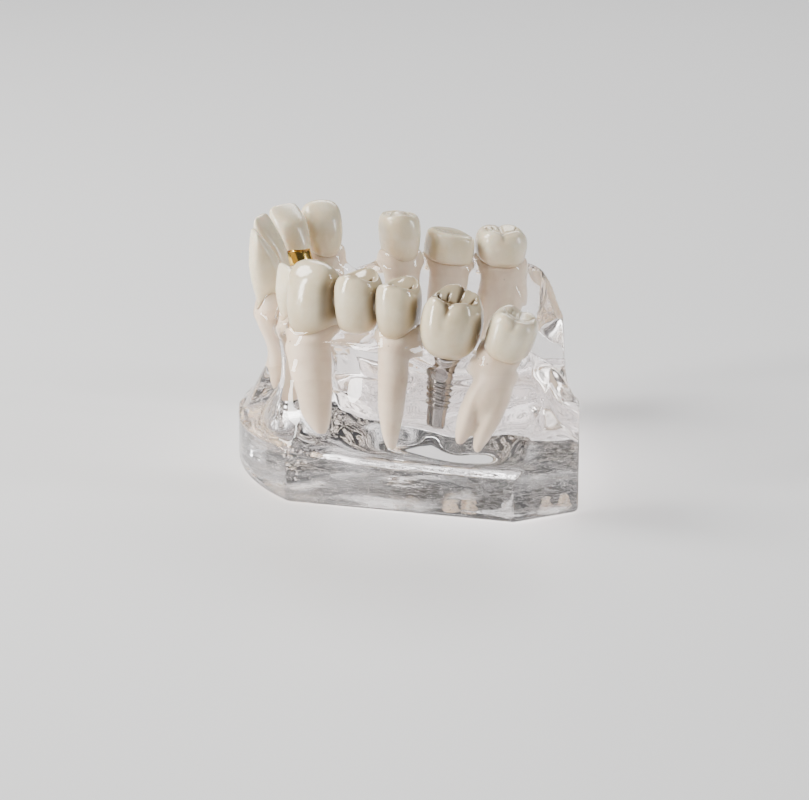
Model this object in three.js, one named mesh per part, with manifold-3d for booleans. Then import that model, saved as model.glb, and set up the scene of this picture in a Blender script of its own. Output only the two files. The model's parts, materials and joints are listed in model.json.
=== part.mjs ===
// A typodont: a clear lower jaw with natural teeth, a three-unit bridge on two prepared teeth,
// an implant with its abutment, screw and crown, and an incisor with a gold post and core.
// Millimetres. +X is the patient's left, -Y is the front, +Z is up, and the jaw stands on Z = 0.
// In a tooth's own frame x runs along the arch, -y is the cheek or lip side, and z goes up from
// the neck, where crown and root meet.
import * as THREE from 'three';
import { LoftGeometry } from 'three/addons/geometries/LoftGeometry.js';
import { mergeVertices } from 'three/addons/utils/BufferGeometryUtils.js';
import Module from 'manifold-3d';

const wasm = await Module();
wasm.setup();

// ---------------------------------------------------------------- driving dimensions

// The arch is the line on which the necks of the teeth stand.
const archHalfWidth = 27.4;
const archFront = -20.7;
const archDepth = 60.7;

// The clear jaw
const floorHeight = 9.2;
const shoulderHeight = 7.2;
const marginHeight = 26.0;
const lipMargin = 6.05;
const cornerMargin = 10.7;
const heelMargin = 8.0;
const backMargin = 2.0;
const retromolarLength = 6.4;
const heelHalfWidth = 4.6;
const footWidth = 4.6;
const bottomBevel = 0.6;
const gumThickness = 1.1;
const crestDrop = 0.5;

// Clearances
const contactGap = 0.36;
const seatGap = 0.3;

// Prepared teeth under the bridge
const shoulderWidth = 1.0;
const stumpShare = 0.62;
const stumpTaper = 0.74;
const connectorHeight = 3.6;
const connectorDepth = 3.4;
const ponticLift = 0.5;

// Implant, abutment and screw, along one axis with z = 0 at the top of the fixture
const fixtureLength = 9.9;
const fixtureRadius = 2.0;
const fixtureTaper = 0.25;
const apexLength = 3.2;
const apexRadius = 1.45;
const threadDepth = 0.3;
const threadCount = 5;
const collarRadius = 2.2;
const collarHeight = 1.8;
const wellRadius = 1.0;
const wellDepth = 5.6;
const ventRadius = 0.5;
const abutmentRadius = 1.9;
const abutmentFlange = 2.4;
const abutmentHeight = 6.0;
const screwRadius = 0.66;
const screwHeadRadius = 0.95;
const boreClearance = 0.35;

// Gold post and core
const postLength = 7.0;
const postTipRadius = 0.45;
const postRadius = 0.8;
const coreCollar = 2.7;
const coreHeight = 7.2;

// How finely things are cut into facets
const crownSides = 16;
const rootSides = 12;
const turnedSides = 18;
const jawSides = 72;

// ---------------------------------------------------------------- tooth shapes

// Each row is [height, width, depth, shift towards the tongue], as shares of the crown's height
// and of half its width and depth. The first row is the neck. Each cusp is [x, y, height, spread
// along the arch, spread across it].
const crownForms = {
  incisor: {
    rows: [
      [0.0, 0.72, 0.88, 0.04], [0.12, 0.8, 0.96, 0.06], [0.3, 0.9, 1.0, 0.06],
      [0.5, 0.97, 0.94, 0.06], [0.68, 1.0, 0.72, 0.02], [0.84, 0.98, 0.45, -0.04],
      [0.94, 0.88, 0.24, -0.07], [0.985, 0.66, 0.13, -0.08], [1.0, 0.36, 0.07, -0.08],
    ],
    squareness: 2.3,
    scallop: 1.2,
    cusps: [],
  },
  canine: {
    rows: [
      [0.0, 0.84, 0.88, 0], [0.12, 0.93, 0.97, 0], [0.35, 1.0, 1.0, 0], [0.6, 1.0, 0.92, 0],
      [0.78, 0.95, 0.74, -0.04], [0.9, 0.8, 0.5, -0.06], [0.97, 0.54, 0.3, -0.06], [1.0, 0.22, 0.12, -0.06],
    ],
    squareness: 2.3,
    scallop: 0.7,
    cusps: [],
  },
  premolar: {
    rows: [
      [0.0, 0.82, 0.86, 0], [0.15, 0.92, 0.95, 0], [0.4, 1.0, 1.0, 0], [0.66, 0.98, 0.94, 0],
      [0.81, 0.86, 0.8, 0], [0.84, 0.6, 0.54, 0], [0.82, 0.16, 0.14, 0],
    ],
    squareness: 2.4,
    scallop: 0.6,
    cusps: [[0, -0.5, 0.17, 0.74, 0.38], [0, 0.5, 0.16, 0.66, 0.36]],
  },
  molar: {
    rows: [
      [0.0, 0.88, 0.9, 0], [0.15, 0.95, 0.97, 0], [0.42, 1.0, 1.0, 0], [0.68, 0.98, 0.95, 0],
      [0.85, 0.86, 0.82, 0], [0.87, 0.56, 0.54, 0], [0.82, 0.14, 0.14, 0],
    ],
    squareness: 2.7,
    scallop: 0.35,
    cusps: [
      [-0.44, -0.44, 0.12, 0.38, 0.38], [0.44, -0.44, 0.1, 0.38, 0.38],
      [-0.44, 0.48, 0.13, 0.38, 0.38], [0.44, 0.48, 0.1, 0.36, 0.36],
    ],
  },
  worn: {
    rows: [
      [0.0, 0.91, 0.93, 0], [0.06, 0.97, 0.98, 0], [0.4, 1.0, 1.0, 0], [0.75, 0.98, 0.96, 0],
      [0.93, 0.92, 0.88, 0], [1.0, 0.76, 0.72, 0], [1.0, 0.14, 0.14, 0],
    ],
    squareness: 3.0,
    scallop: 0.1,
    cusps: [],
  },
  implant: {
    rows: [
      [0.0, 0.6, 0.62, 0], [0.13, 0.84, 0.84, 0], [0.4, 1.0, 1.0, 0], [0.67, 0.98, 0.95, 0],
      [0.84, 0.86, 0.82, 0], [0.86, 0.54, 0.52, 0], [0.8, 0.14, 0.14, 0],
    ],
    squareness: 2.6,
    scallop: 0,
    cusps: [
      [-0.46, -0.46, 0.13, 0.34, 0.38], [0.46, -0.46, 0.11, 0.34, 0.38],
      [-0.44, 0.5, 0.15, 0.38, 0.36], [0.44, 0.5, 0.11, 0.36, 0.36],
    ],
  },
  pontic: {
    rows: [
      [0.0, 0.5, 0.42, -0.1], [0.05, 0.76, 0.66, -0.08], [0.16, 0.92, 0.86, -0.04], [0.4, 1.0, 1.0, 0],
      [0.68, 0.98, 0.94, 0], [0.82, 0.86, 0.8, 0], [0.84, 0.6, 0.54, 0], [0.82, 0.16, 0.14, 0],
    ],
    squareness: 2.4,
    scallop: 0,
    cusps: [[0, -0.5, 0.17, 0.74, 0.38], [0, 0.5, 0.15, 0.66, 0.36]],
  },
};

// Each row is [depth, width, depth of the section], as shares of the root's length and neck.
const rootRows = [
  [0.1, 0.98, 0.99], [0.3, 0.93, 0.95], [0.52, 0.84, 0.86],
  [0.74, 0.7, 0.71], [0.91, 0.48, 0.5], [1.0, 0.22, 0.24],
];
const trunkRows = [[0.12, 0.99, 0.99], [0.3, 0.97, 0.95], [0.52, 0.9, 0.86], [0.64, 0.62, 0.62]];
const legRows = [
  [0.2, 0.44, 0.84], [0.4, 0.48, 0.86], [0.66, 0.42, 0.72], [0.86, 0.32, 0.5], [1.0, 0.14, 0.2],
];

// ---------------------------------------------------------------- the teeth

// In order from the midline. width runs along the arch and depth across it. rise is the neck's
// height over marginHeight. lean tilts the top towards the lip, tip tilts it backwards along the
// arch, and turn twists it about its own axis. inset moves the tooth towards the tongue, and space
// leaves a gap in front of it. sweep is how far the root's end lies [backwards, towards the tongue]
// of its axis.
const leftTeeth = [
  {
    name: 'left_central_incisor', form: 'incisor', width: 5.3, depth: 5.2, height: 11.6,
    rise: 1.2, lean: 12, inset: -0.8, root: 17.0,
  },
  {
    name: 'left_lateral_incisor', form: 'incisor', width: 5.4, depth: 5.0, height: 7.8,
    rise: 0.6, lean: 10, tip: 3, inset: 1.0, root: 16.0, space: 0.4,
  },
  {
    name: 'left_canine', form: 'canine', width: 8.1, depth: 8.4, height: 10.6,
    rise: -0.1, root: 17.2, sweep: [1.6, 0.6],
  },
  {
    name: 'left_first_premolar', form: 'pontic', width: 6.5, depth: 7.6, height: 9.6,
    rise: 0.2, space: 0.4,
  },
  {
    name: 'left_second_premolar', form: 'premolar', width: 6.5, depth: 8.0, height: 7.9,
    rise: 1.2, root: 18.0, sweep: [-0.6, 0.2], space: 0.1,
  },
  {
    name: 'left_first_molar', form: 'implant', width: 9.2, depth: 9.8, height: 10.2,
    rise: -1.8, tip: 6.5, inset: -0.8,
  },
  {
    name: 'left_second_molar', form: 'molar', width: 7.5, depth: 8.8, height: 6.6,
    rise: -0.9, tip: 19, root: 15.4, legs: 2,
  },
];
const rightTeeth = [
  {
    name: 'right_central_incisor', form: 'incisor', width: 5.3, depth: 5.2, height: 12.0,
    rise: 1.4, lean: 13, turn: 12, root: 17.0,
  },
  {
    name: 'right_lateral_incisor', form: 'incisor', width: 5.9, depth: 5.4, height: 11.2,
    rise: 2.8, lean: 25, turn: 22, inset: 1.8, root: 17.0, sweep: [0, -1.6], space: 0.3,
  },
  {
    name: 'right_canine', form: 'canine', width: 6.7, depth: 7.2, height: 8.4,
    rise: 4.2, lean: 8, turn: 18, root: 20.0, space: 1.1,
  },
  { name: 'right_first_premolar', form: 'missing', width: 6.8, depth: 6.0, rise: 0.4 },
  {
    name: 'right_second_premolar', form: 'premolar', width: 6.7, depth: 7.8, height: 7.3,
    rise: 2.0, lean: 3, root: 17.4,
  },
  {
    name: 'right_first_molar', form: 'worn', width: 7.7, depth: 8.4, height: 4.7,
    rise: 0.3, tip: 8, root: 16.4, legs: 2, space: 0.9,
  },
  {
    name: 'right_second_molar', form: 'molar', width: 8.5, depth: 8.8, height: 5.6,
    rise: -0.4, tip: 4, root: 16.0, legs: 2, space: 0.6,
  },
];
const retromolarHeights = { left: [-0.6, -9.5], right: [-2.6, -13.0] };

const shades = {
  jaw: { color: 0xdad4d2, roughness: 0.12, metalness: 0, transparent: true, opacity: 0.4 },
  enamel: { color: 0xe0ccb2, roughness: 0.28, metalness: 0 },
  dentine: { color: 0xd8bd94, roughness: 0.4, metalness: 0 },
  porcelain: { color: 0xd9cdc6, roughness: 0.12, metalness: 0 },
  titanium: { color: 0x8a8684, roughness: 0.25, metalness: 1 },
  gold: { color: 0xc79a3c, roughness: 0.22, metalness: 1 },
};
const materials = Object.fromEntries(
  Object.entries(shades).map(([name, look]) => [name, new THREE.MeshStandardMaterial(look)]),
);

// ---------------------------------------------------------------- solids

const degrees = THREE.MathUtils.degToRad;

// A closed geometry as a manifold solid, with its faces turned outwards.
function solidOf(geometry) {
  const bare = new THREE.BufferGeometry();
  bare.setAttribute('position', geometry.getAttribute('position').clone());
  bare.setIndex(geometry.index);
  const merged = mergeVertices(bare, 1e-4);
  const triVerts = [];
  for (let i = 0; i < merged.index.count; i += 3) {
    const [a, b, c] = [0, 1, 2].map((k) => merged.index.getX(i + k));
    if (a !== b && b !== c && c !== a) triVerts.push(a, b, c);
  }
  const mesh = new wasm.Mesh({
    numProp: 3,
    vertProperties: merged.attributes.position.array,
    triVerts: new Uint32Array(triVerts),
  });
  const solid = new wasm.Manifold(mesh);
  if (solid.volume() > 0) return solid;
  for (let i = 0; i < triVerts.length; i += 3) {
    [triVerts[i + 1], triVerts[i + 2]] = [triVerts[i + 2], triVerts[i + 1]];
  }
  mesh.triVerts = new Uint32Array(triVerts);
  return new wasm.Manifold(mesh);
}

function geometryOf(solid) {
  const mesh = solid.getMesh();
  const geometry = new THREE.BufferGeometry();
  geometry.setAttribute('position', new THREE.BufferAttribute(mesh.vertProperties, 3));
  geometry.setIndex(new THREE.BufferAttribute(mesh.triVerts, 1));
  return geometry;
}

// A ring of points round the tooth's axis: an ellipse that grows squarer with squareness.
function ring(halfWidth, halfDepth, sides, squareness, place) {
  const points = [];
  for (let i = 0; i < sides; i += 1) {
    const angle = (2 * Math.PI * i) / sides;
    const [cos, sin] = [Math.cos(angle), Math.sin(angle)];
    const x = halfWidth * Math.sign(cos) * Math.abs(cos) ** (2 / squareness);
    const y = halfDepth * Math.sign(sin) * Math.abs(sin) ** (2 / squareness);
    points.push(place(x, y, angle));
  }
  return points;
}

// A closed surface through the sections: each end narrows to the middle of its last section.
function skin(sections) {
  const middleOf = (points) => {
    const middle = points.reduce((sum, point) => sum.add(point), new THREE.Vector3());
    middle.divideScalar(points.length);
    return points.map(() => middle);
  };
  return new LoftGeometry([middleOf(sections[0]), ...sections, middleOf(sections.at(-1))]);
}

// A solid turned about z from a profile of [radius, height] points.
function turned(profile, sides = turnedSides) {
  const lathe = new THREE.LatheGeometry(profile.map(([r, z]) => new THREE.Vector2(r, z)), sides);
  return solidOf(lathe.rotateX(Math.PI / 2));
}

// ---------------------------------------------------------------- the arch and its frames

const halfArch = [
  [0.0, 0.0], [0.255, 0.028], [0.49, 0.097], [0.65, 0.216],
  [0.814, 0.384], [0.927, 0.547], [0.985, 0.736], [1.0, 1.0],
];

function archPoint([across, back], side) {
  return new THREE.Vector3(side * archHalfWidth * across, archFront + archDepth * back, 0);
}

const arch = new THREE.CatmullRomCurve3([
  ...halfArch.slice(1).reverse().map((share) => archPoint(share, -1)),
  ...halfArch.map((share) => archPoint(share, 1)),
]);
arch.arcLengthDivisions = 600;
const archLength = arch.getLength();

// The point, the direction along the arch and the inward direction at a distance from the midline,
// positive on the left.
function archFrame(distance) {
  const share = THREE.MathUtils.clamp(0.5 + distance / archLength, 0, 1);
  const along = arch.getTangentAt(share);
  return { point: arch.getPointAt(share), along, inward: new THREE.Vector3(-along.y, along.x, 0) };
}

function placeTeeth(teeth, side) {
  let reached = contactGap / 2;
  for (const tooth of teeth) {
    reached += tooth.space ?? 0;
    tooth.side = side;
    tooth.distance = side * (reached + tooth.width / 2);
    reached += tooth.width + contactGap;
    const { point, along, inward } = archFrame(tooth.distance);
    const up = new THREE.Vector3(0, 0, 1);
    tooth.frame = new THREE.Matrix4().makeBasis(along, inward, up);
    tooth.frame.multiply(new THREE.Matrix4().makeRotationZ(degrees(side * (tooth.turn ?? 0))));
    tooth.frame.multiply(new THREE.Matrix4().makeRotationY(degrees(side * (tooth.tip ?? 0))));
    tooth.frame.multiply(new THREE.Matrix4().makeRotationX(degrees(tooth.lean ?? 0)));
    const neck = point.clone().addScaledVector(inward, tooth.inset ?? 0);
    tooth.frame.setPosition(neck.x, neck.y, marginHeight + tooth.rise);
  }
  return reached;
}

const leftReach = placeTeeth(leftTeeth, 1);
const rightReach = placeTeeth(rightTeeth, -1);
const backDistance = Math.max(leftReach, rightReach) + retromolarLength;
const allTeeth = [...leftTeeth, ...rightTeeth];
const tooth = Object.fromEntries(allTeeth.map((t) => [t.name, t]));

// ---------------------------------------------------------------- crowns and roots

// How far the neck line rises towards the neighbours and drops at the lip and the tongue.
function scallop(form, angle) {
  return form.scallop * Math.cos(2 * angle);
}

function relief(form, x, y) {
  return form.cusps.reduce((sum, [cx, cy, high, along, across]) => {
    const away = ((x - cx) / along) ** 2 + ((y - cy) / across) ** 2;
    return sum + high * Math.exp(-away);
  }, 0);
}

// The crown of a tooth in its own frame. grow makes it larger all round, and lift raises its neck.
function crownSections(t, grow = 0, lift = 0) {
  const form = crownForms[t.form];
  const [halfWidth, halfDepth] = [t.width / 2, t.depth / 2];
  const height = t.height - lift;
  const last = form.rows.length - 1;
  const sections = form.rows.map(([h, w, d, shift], row) => ring(
    halfWidth * w + grow,
    halfDepth * d + grow,
    crownSides,
    form.squareness,
    (x, y, angle) => {
      const bump = THREE.MathUtils.smoothstep(h, 0.35, 0.7) * relief(form, x / halfWidth, y / halfDepth);
      const fade = Math.max(0, 1 - h / 0.4);
      const neckLine = scallop(form, angle) * fade - (row === 0 ? grow : 0);
      const swell = row > last / 2 ? grow : 0;
      return new THREE.Vector3(x, y + halfDepth * shift, lift + height * (h + bump) + neckLine + swell);
    },
  ));
  const [, w, d, shift] = form.rows[0];
  const seat = ring(halfWidth * w * 0.3, halfDepth * d * 0.3, crownSides, 2, (x, y) => (
    new THREE.Vector3(x, y + halfDepth * shift, lift - grow)
  ));
  return [seat, ...sections];
}

function crownSolid(t, grow, lift) {
  return solidOf(skin(crownSections(t, grow, lift)));
}

function neckSize(t) {
  const [, w, d] = crownForms[t.form].rows[0];
  return [(t.width / 2) * w, (t.depth / 2) * d];
}

// Sections of one root, or of one leg of it, from the neck down. centre places the leg along x.
function rootSections(t, rows, grow, centre = 0, endCentre = 0) {
  const [halfWidth, halfDepth] = neckSize(t);
  const [back, inward] = t.sweep ?? [0, 0];
  return rows.map(([share, w, d], row) => {
    const bend = share ** 1.5;
    const x0 = t.side * back * bend + THREE.MathUtils.lerp(centre, endCentre, share);
    const y0 = inward * bend;
    const extra = row === rows.length - 1 ? grow : 0;
    return ring(halfWidth * w + grow, halfDepth * d + grow, rootSides, 2.1, (x, y) => (
      new THREE.Vector3(x + x0, y + y0, -seatGap - t.root * share - extra)
    ));
  });
}

// The top of a root: the socket's mouth where grow is above 0, or else the neck line under the crown.
function rootTop(t, grow) {
  const form = crownForms[t.form];
  const [halfWidth, halfDepth] = neckSize(t);
  if (grow > 0) {
    return [form.scallop + 3, -form.scallop - seatGap].map((z) => ring(
      halfWidth + grow,
      halfDepth + grow,
      rootSides,
      form.squareness,
      (x, y) => new THREE.Vector3(x, y, z),
    ));
  }
  const seat = ring(halfWidth * 0.3, halfDepth * 0.3, rootSides, 2, (x, y) => (
    new THREE.Vector3(x, y, -seatGap)
  ));
  const edge = ring(halfWidth, halfDepth, rootSides, form.squareness, (x, y, angle) => (
    new THREE.Vector3(x, y, scallop(form, angle) - seatGap)
  ));
  return [seat, edge];
}

function rootSolid(t, grow = 0) {
  if (!t.legs) return solidOf(skin([...rootTop(t, grow), ...rootSections(t, rootRows, grow)]));
  const [halfWidth] = neckSize(t);
  const trunk = solidOf(skin([...rootTop(t, grow), ...rootSections(t, trunkRows, grow)]));
  return [-1, 1].reduce((whole, way) => {
    const leg = rootSections(t, legRows, grow, way * halfWidth * 0.5, way * halfWidth * 0.42);
    return whole.add(solidOf(skin(leg)));
  }, trunk);
}

// The tapered stump that carries a retainer or a crown, from base to top above the neck.
function stumpSections(t, base, top, grow = 0, foot = base) {
  const [halfWidth, halfDepth] = neckSize(t);
  const rows = [[foot, 1], [top - 0.8, stumpTaper], [top, stumpTaper * 0.7]];
  return rows.map(([z, share]) => ring(
    (halfWidth - shoulderWidth) * share + grow,
    (halfDepth - shoulderWidth) * share + grow,
    rootSides,
    2.2,
    (x, y) => new THREE.Vector3(x, y, z + (z === top ? grow : 0)),
  ));
}

// ---------------------------------------------------------------- assembling

const typodont = new THREE.Group();

function addMesh(name, solid, material, frame) {
  const mesh = new THREE.Mesh(geometryOf(solid), material);
  mesh.name = name;
  if (frame) mesh.applyMatrix4(frame);
  typodont.add(mesh);
  return mesh;
}

// The same solid in the jaw's frame.
function inJaw(solid, frame) {
  return solid.transform(frame.elements);
}

const sockets = [];

// Natural teeth: a crown on a root
const restoredNames = ['left_canine', 'left_second_premolar', 'right_lateral_incisor'];
for (const t of allTeeth.filter(({ name, root }) => root && !restoredNames.includes(name))) {
  addMesh(`${t.name}_crown`, crownSolid(t), materials.enamel, t.frame);
  addMesh(`${t.name}_root`, rootSolid(t), materials.dentine, t.frame);
  sockets.push(inJaw(rootSolid(t, seatGap), t.frame), inJaw(crownSolid(t, seatGap), t.frame));
}

// Bridge: two retainers on prepared teeth with a pontic between them, cast in one piece
function preparedTooth(t) {
  const stump = solidOf(skin(stumpSections(t, -seatGap, t.height * stumpShare, 0, -2)));
  return rootSolid(t).add(stump);
}

function retainer(t) {
  const cavity = solidOf(skin(stumpSections(t, -seatGap, t.height * stumpShare, seatGap, -3)));
  return inJaw(crownSolid(t).subtract(cavity), t.frame);
}

function connector(a, b) {
  const [from, to] = [a, b].map((t) => new THREE.Vector3(0, 0, t.height * 0.5).applyMatrix4(t.frame));
  const ball = new THREE.SphereGeometry(1, 12, 8);
  const middle = from.clone().lerp(to, (a.width / 2 + contactGap / 2) / from.distanceTo(to));
  ball.scale((a.width + b.width) / 8, connectorDepth / 2, connectorHeight / 2);
  ball.rotateZ(Math.atan2(to.y - from.y, to.x - from.x));
  ball.translate(middle.x, middle.y, middle.z);
  return solidOf(ball);
}

const canine = tooth.left_canine;
const pontic = tooth.left_first_premolar;
const premolar = tooth.left_second_premolar;
addMesh('left_canine_abutment_root', preparedTooth(canine), materials.dentine, canine.frame);
addMesh('left_second_premolar_abutment_root', preparedTooth(premolar), materials.dentine, premolar.frame);
const bridge = [
  retainer(premolar),
  inJaw(crownSolid(pontic), pontic.frame),
  connector(canine, pontic),
  connector(pontic, premolar),
].reduce((whole, piece) => whole.add(piece), retainer(canine));
addMesh('three_unit_bridge', bridge, materials.porcelain);
for (const t of [canine, premolar]) {
  sockets.push(inJaw(rootSolid(t, seatGap), t.frame), inJaw(crownSolid(t, seatGap), t.frame));
}
sockets.push(inJaw(crownSolid(pontic, ponticLift), pontic.frame));

// Implant: fixture, abutment and screw on one axis, with the crown over the abutment
const implant = tooth.left_first_molar;
const crownSeat = seatGap + 1.2;
const implantFrame = implant.frame.clone().multiply(new THREE.Matrix4().makeTranslation(0, 0, -crownSeat));

function threadProfile() {
  const pitch = (fixtureLength - collarHeight - apexLength) / threadCount;
  const points = [];
  for (let i = 0; i < threadCount; i += 1) {
    const z = -collarHeight - pitch * i;
    const crest = fixtureRadius - (fixtureTaper * i) / (threadCount - 1);
    points.push([crest - threadDepth, z - pitch * 0.08], [crest, z - pitch * 0.45]);
    points.push([crest, z - pitch * 0.7]);
  }
  return points;
}

const fixture = turned([
  [0, -wellDepth - 0.4], [wellRadius, -wellDepth], [wellRadius, 0], [collarRadius, 0],
  [collarRadius, -0.5], [fixtureRadius - 0.1, -collarHeight + 0.3], ...threadProfile(),
  [apexRadius, apexLength - fixtureLength], [apexRadius, 0.7 - fixtureLength],
  [apexRadius * 0.7, 0.2 - fixtureLength], [0, -fixtureLength],
]);
const ventTool = new THREE.CylinderGeometry(ventRadius, ventRadius, 3 * fixtureRadius, 10);
ventTool.rotateZ(Math.PI / 2).translate(0, 0, 1.4 - fixtureLength);
const screwSeat = 2.0;
const abutment = turned([
  [wellRadius, seatGap], [collarRadius - 0.1, seatGap], [abutmentFlange, crownSeat - 0.2],
  [abutmentFlange, crownSeat], [abutmentRadius, crownSeat], [abutmentRadius * 0.84, abutmentHeight],
  [screwHeadRadius + seatGap, abutmentHeight], [screwHeadRadius + seatGap, screwSeat],
  [wellRadius, screwSeat], [wellRadius, seatGap],
]);
const screwTop = screwSeat + seatGap + 1.8;
const screw = turned([
  [0, -wellDepth + 0.5], [screwRadius, -wellDepth + 0.9], [screwRadius, screwSeat + seatGap],
  [screwHeadRadius, screwSeat + seatGap], [screwHeadRadius, screwTop], [0.5, screwTop],
  [0.5, screwTop - 0.9], [0, screwTop - 0.9],
]);
const crownCavity = turned([
  [0, -2], [abutmentRadius + seatGap, -2], [abutmentRadius + seatGap, crownSeat + seatGap],
  [abutmentRadius * 0.84 + seatGap, abutmentHeight + seatGap], [0, abutmentHeight + seatGap],
]);
const implantCrown = inJaw(crownSolid(implant, 0, seatGap), implant.frame)
  .subtract(inJaw(crownCavity, implantFrame));
addMesh('implant_fixture', fixture.subtract(solidOf(ventTool)), materials.titanium, implantFrame);
addMesh('implant_abutment', abutment, materials.titanium, implantFrame);
addMesh('abutment_screw', screw, materials.titanium, implantFrame);
addMesh('implant_crown', implantCrown, materials.porcelain);
const boreRadius = collarRadius + boreClearance;
sockets.push(inJaw(turned([
  [0, -fixtureLength - boreClearance], [boreRadius * 0.6, -fixtureLength],
  [boreRadius, -fixtureLength + 1.6], [boreRadius, 6], [0, 6],
]), implantFrame));
sockets.push(inJaw(crownSolid(implant, seatGap), implant.frame));

// Gold post and core in the right lateral incisor, with its crown above the gold collar
const restored = tooth.right_lateral_incisor;
function postSolid(grow = 0) {
  return turned([
    [0, -postLength - grow], [postTipRadius + grow, -postLength + 0.3 - grow],
    [postRadius + grow, -seatGap + grow], [postRadius + grow, 1], [0, 1],
  ], rootSides);
}

function collarSolid() {
  const form = crownForms[restored.form];
  const [halfWidth, halfDepth] = neckSize(restored);
  const heights = [0, 0.2, coreCollar];
  const sections = heights.map((z, row) => ring(
    halfWidth * (row ? 0.98 : 0.3),
    halfDepth * (row ? 0.98 : 0.3),
    rootSides,
    row ? form.squareness : 2,
    (x, y, angle) => new THREE.Vector3(x, y, z + (row === 1 ? scallop(form, angle) : 0)),
  ));
  return solidOf(skin(sections));
}

const core = solidOf(skin(stumpSections(restored, 0, coreHeight, 0, coreCollar - 0.5)));
addMesh('gold_post_and_core', postSolid().add(collarSolid()).add(core), materials.gold, restored.frame);
const boredRoot = rootSolid(restored).subtract(postSolid(seatGap));
addMesh('right_lateral_incisor_root', boredRoot, materials.dentine, restored.frame);
const coreCavity = solidOf(skin(stumpSections(restored, 0, coreHeight, seatGap, coreCollar - 2)));
const raisedCrown = crownSolid(restored, 0, coreCollar + seatGap + crownForms.incisor.scallop);
addMesh('right_lateral_incisor_crown', raisedCrown.subtract(coreCavity), materials.enamel, restored.frame);
sockets.push(inJaw(rootSolid(restored, seatGap), restored.frame));

// ---------------------------------------------------------------- the clear jaw

// Heights and widths of the ridge along the arch, ordered from the right heel to the left.
function ridgeStation(t) {
  const z = marginHeight + t.rise;
  const scalloped = t.form === 'missing' ? 0 : crownForms[t.form].scallop;
  const onlyGum = t.form === 'pontic' || t.form === 'missing';
  return {
    distance: t.distance,
    height: z - scalloped - (t.form === 'pontic' ? ponticLift : crestDrop),
    half: (onlyGum ? t.depth * 0.36 : t.depth * 0.45) + gumThickness,
    lean: t.lean ?? 0,
    inset: t.inset ?? 0,
  };
}

function heelStations(side, heights) {
  const reach = side > 0 ? leftReach : rightReach;
  const places = [[reach + 0.2, heights[0]], [backDistance, heights[1]], [backDistance + 12, heights[1] - 6]];
  return places.map(([distance, height]) => ({
    distance: side * distance,
    height: marginHeight + height,
    half: heelHalfWidth,
    lean: 0,
    inset: 0,
  }));
}

const stations = [
  ...allTeeth.map(ridgeStation),
  ...heelStations(1, retromolarHeights.left),
  ...heelStations(-1, retromolarHeights.right),
].sort((a, b) => a.distance - b.distance);

function ridgeAt(distance) {
  const next = stations.findIndex((s) => s.distance >= distance);
  if (next === 0) return stations[0];
  if (next < 0) return stations[stations.length - 1];
  const [a, b] = [stations[next - 1], stations[next]];
  const share = (distance - a.distance) / (b.distance - a.distance);
  return Object.fromEntries(Object.keys(a).map((key) => [key, THREE.MathUtils.lerp(a[key], b[key], share)]));
}

// The outline of the trimmed base: a front arc, straight sides, chamfered heels and a flat back.
function offsetPoint(distance, margin) {
  const { point, inward } = archFrame(distance);
  return point.clone().addScaledVector(inward, -margin);
}

const cornerAt = offsetPoint(canine.distance + canine.width / 5, cornerMargin);
const lastMolar = tooth.left_second_molar;
const heelAt = offsetPoint(lastMolar.distance + lastMolar.width / 3, heelMargin);
const backAt = offsetPoint(backDistance, backMargin);
const frontY = archFront - lipMargin;
const arcRise = cornerAt.y - frontY;
const arcRadius = (cornerAt.x ** 2 + arcRise ** 2) / (2 * arcRise);
const arcHalfAngle = Math.asin(cornerAt.x / arcRadius);

const outline = new THREE.Shape();
outline.moveTo(-backAt.x, backAt.y);
outline.lineTo(-heelAt.x, heelAt.y);
outline.lineTo(-cornerAt.x, cornerAt.y);
outline.absarc(0, frontY + arcRadius, arcRadius, -Math.PI / 2 - arcHalfAngle, -Math.PI / 2 + arcHalfAngle);
outline.lineTo(heelAt.x, heelAt.y);
outline.lineTo(backAt.x, backAt.y);
outline.closePath();

const centre = new THREE.Vector2(0, backAt.y - 20.75);
const farOut = 55;

// How far the base's side lies from the centre in a direction, with the straight sides run on.
function sideReach(angle) {
  const [dx, dy] = [Math.cos(angle), Math.sin(angle)];
  const run = new THREE.Vector2(heelAt.x - cornerAt.x, heelAt.y - cornerAt.y);
  const across = dx < 0 ? -dx : dx;
  const cross = across * run.y - dy * run.x;
  const toCorner = new THREE.Vector2(cornerAt.x, cornerAt.y - centre.y);
  const alongRay = (toCorner.x * run.y - toCorner.y * run.x) / cross;
  const alongRun = (toCorner.x * dy - toCorner.y * across) / cross;
  if (alongRay > 0 && alongRun >= 0) return Math.min(alongRay, farOut);
  if (dy > 0) return farOut;
  const drop = frontY + arcRadius - centre.y;
  return Math.min(farOut, dy * drop + Math.sqrt((dy * drop) ** 2 - drop ** 2 + arcRadius ** 2));
}

// Where the ray in a direction meets the arch.
const archSamples = Array.from({ length: 401 }, (_, i) => {
  const distance = (i / 400 - 0.5) * archLength;
  const { point } = archFrame(distance);
  const angle = Math.atan2(point.y - centre.y, point.x);
  const turn = angle > Math.PI / 2 ? 2 * Math.PI : 0;
  return { distance, angle: angle - turn, radius: Math.hypot(point.x, point.y - centre.y) };
});

function archAt(angle) {
  const next = archSamples.findIndex((s) => s.angle >= angle);
  if (next === 0) return archSamples[0];
  if (next < 0) return archSamples[400];
  const [a, b] = [archSamples[next - 1], archSamples[next]];
  const share = (angle - a.angle) / (b.angle - a.angle);
  return {
    distance: THREE.MathUtils.lerp(a.distance, b.distance, share),
    radius: THREE.MathUtils.lerp(a.radius, b.radius, share),
  };
}

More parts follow.
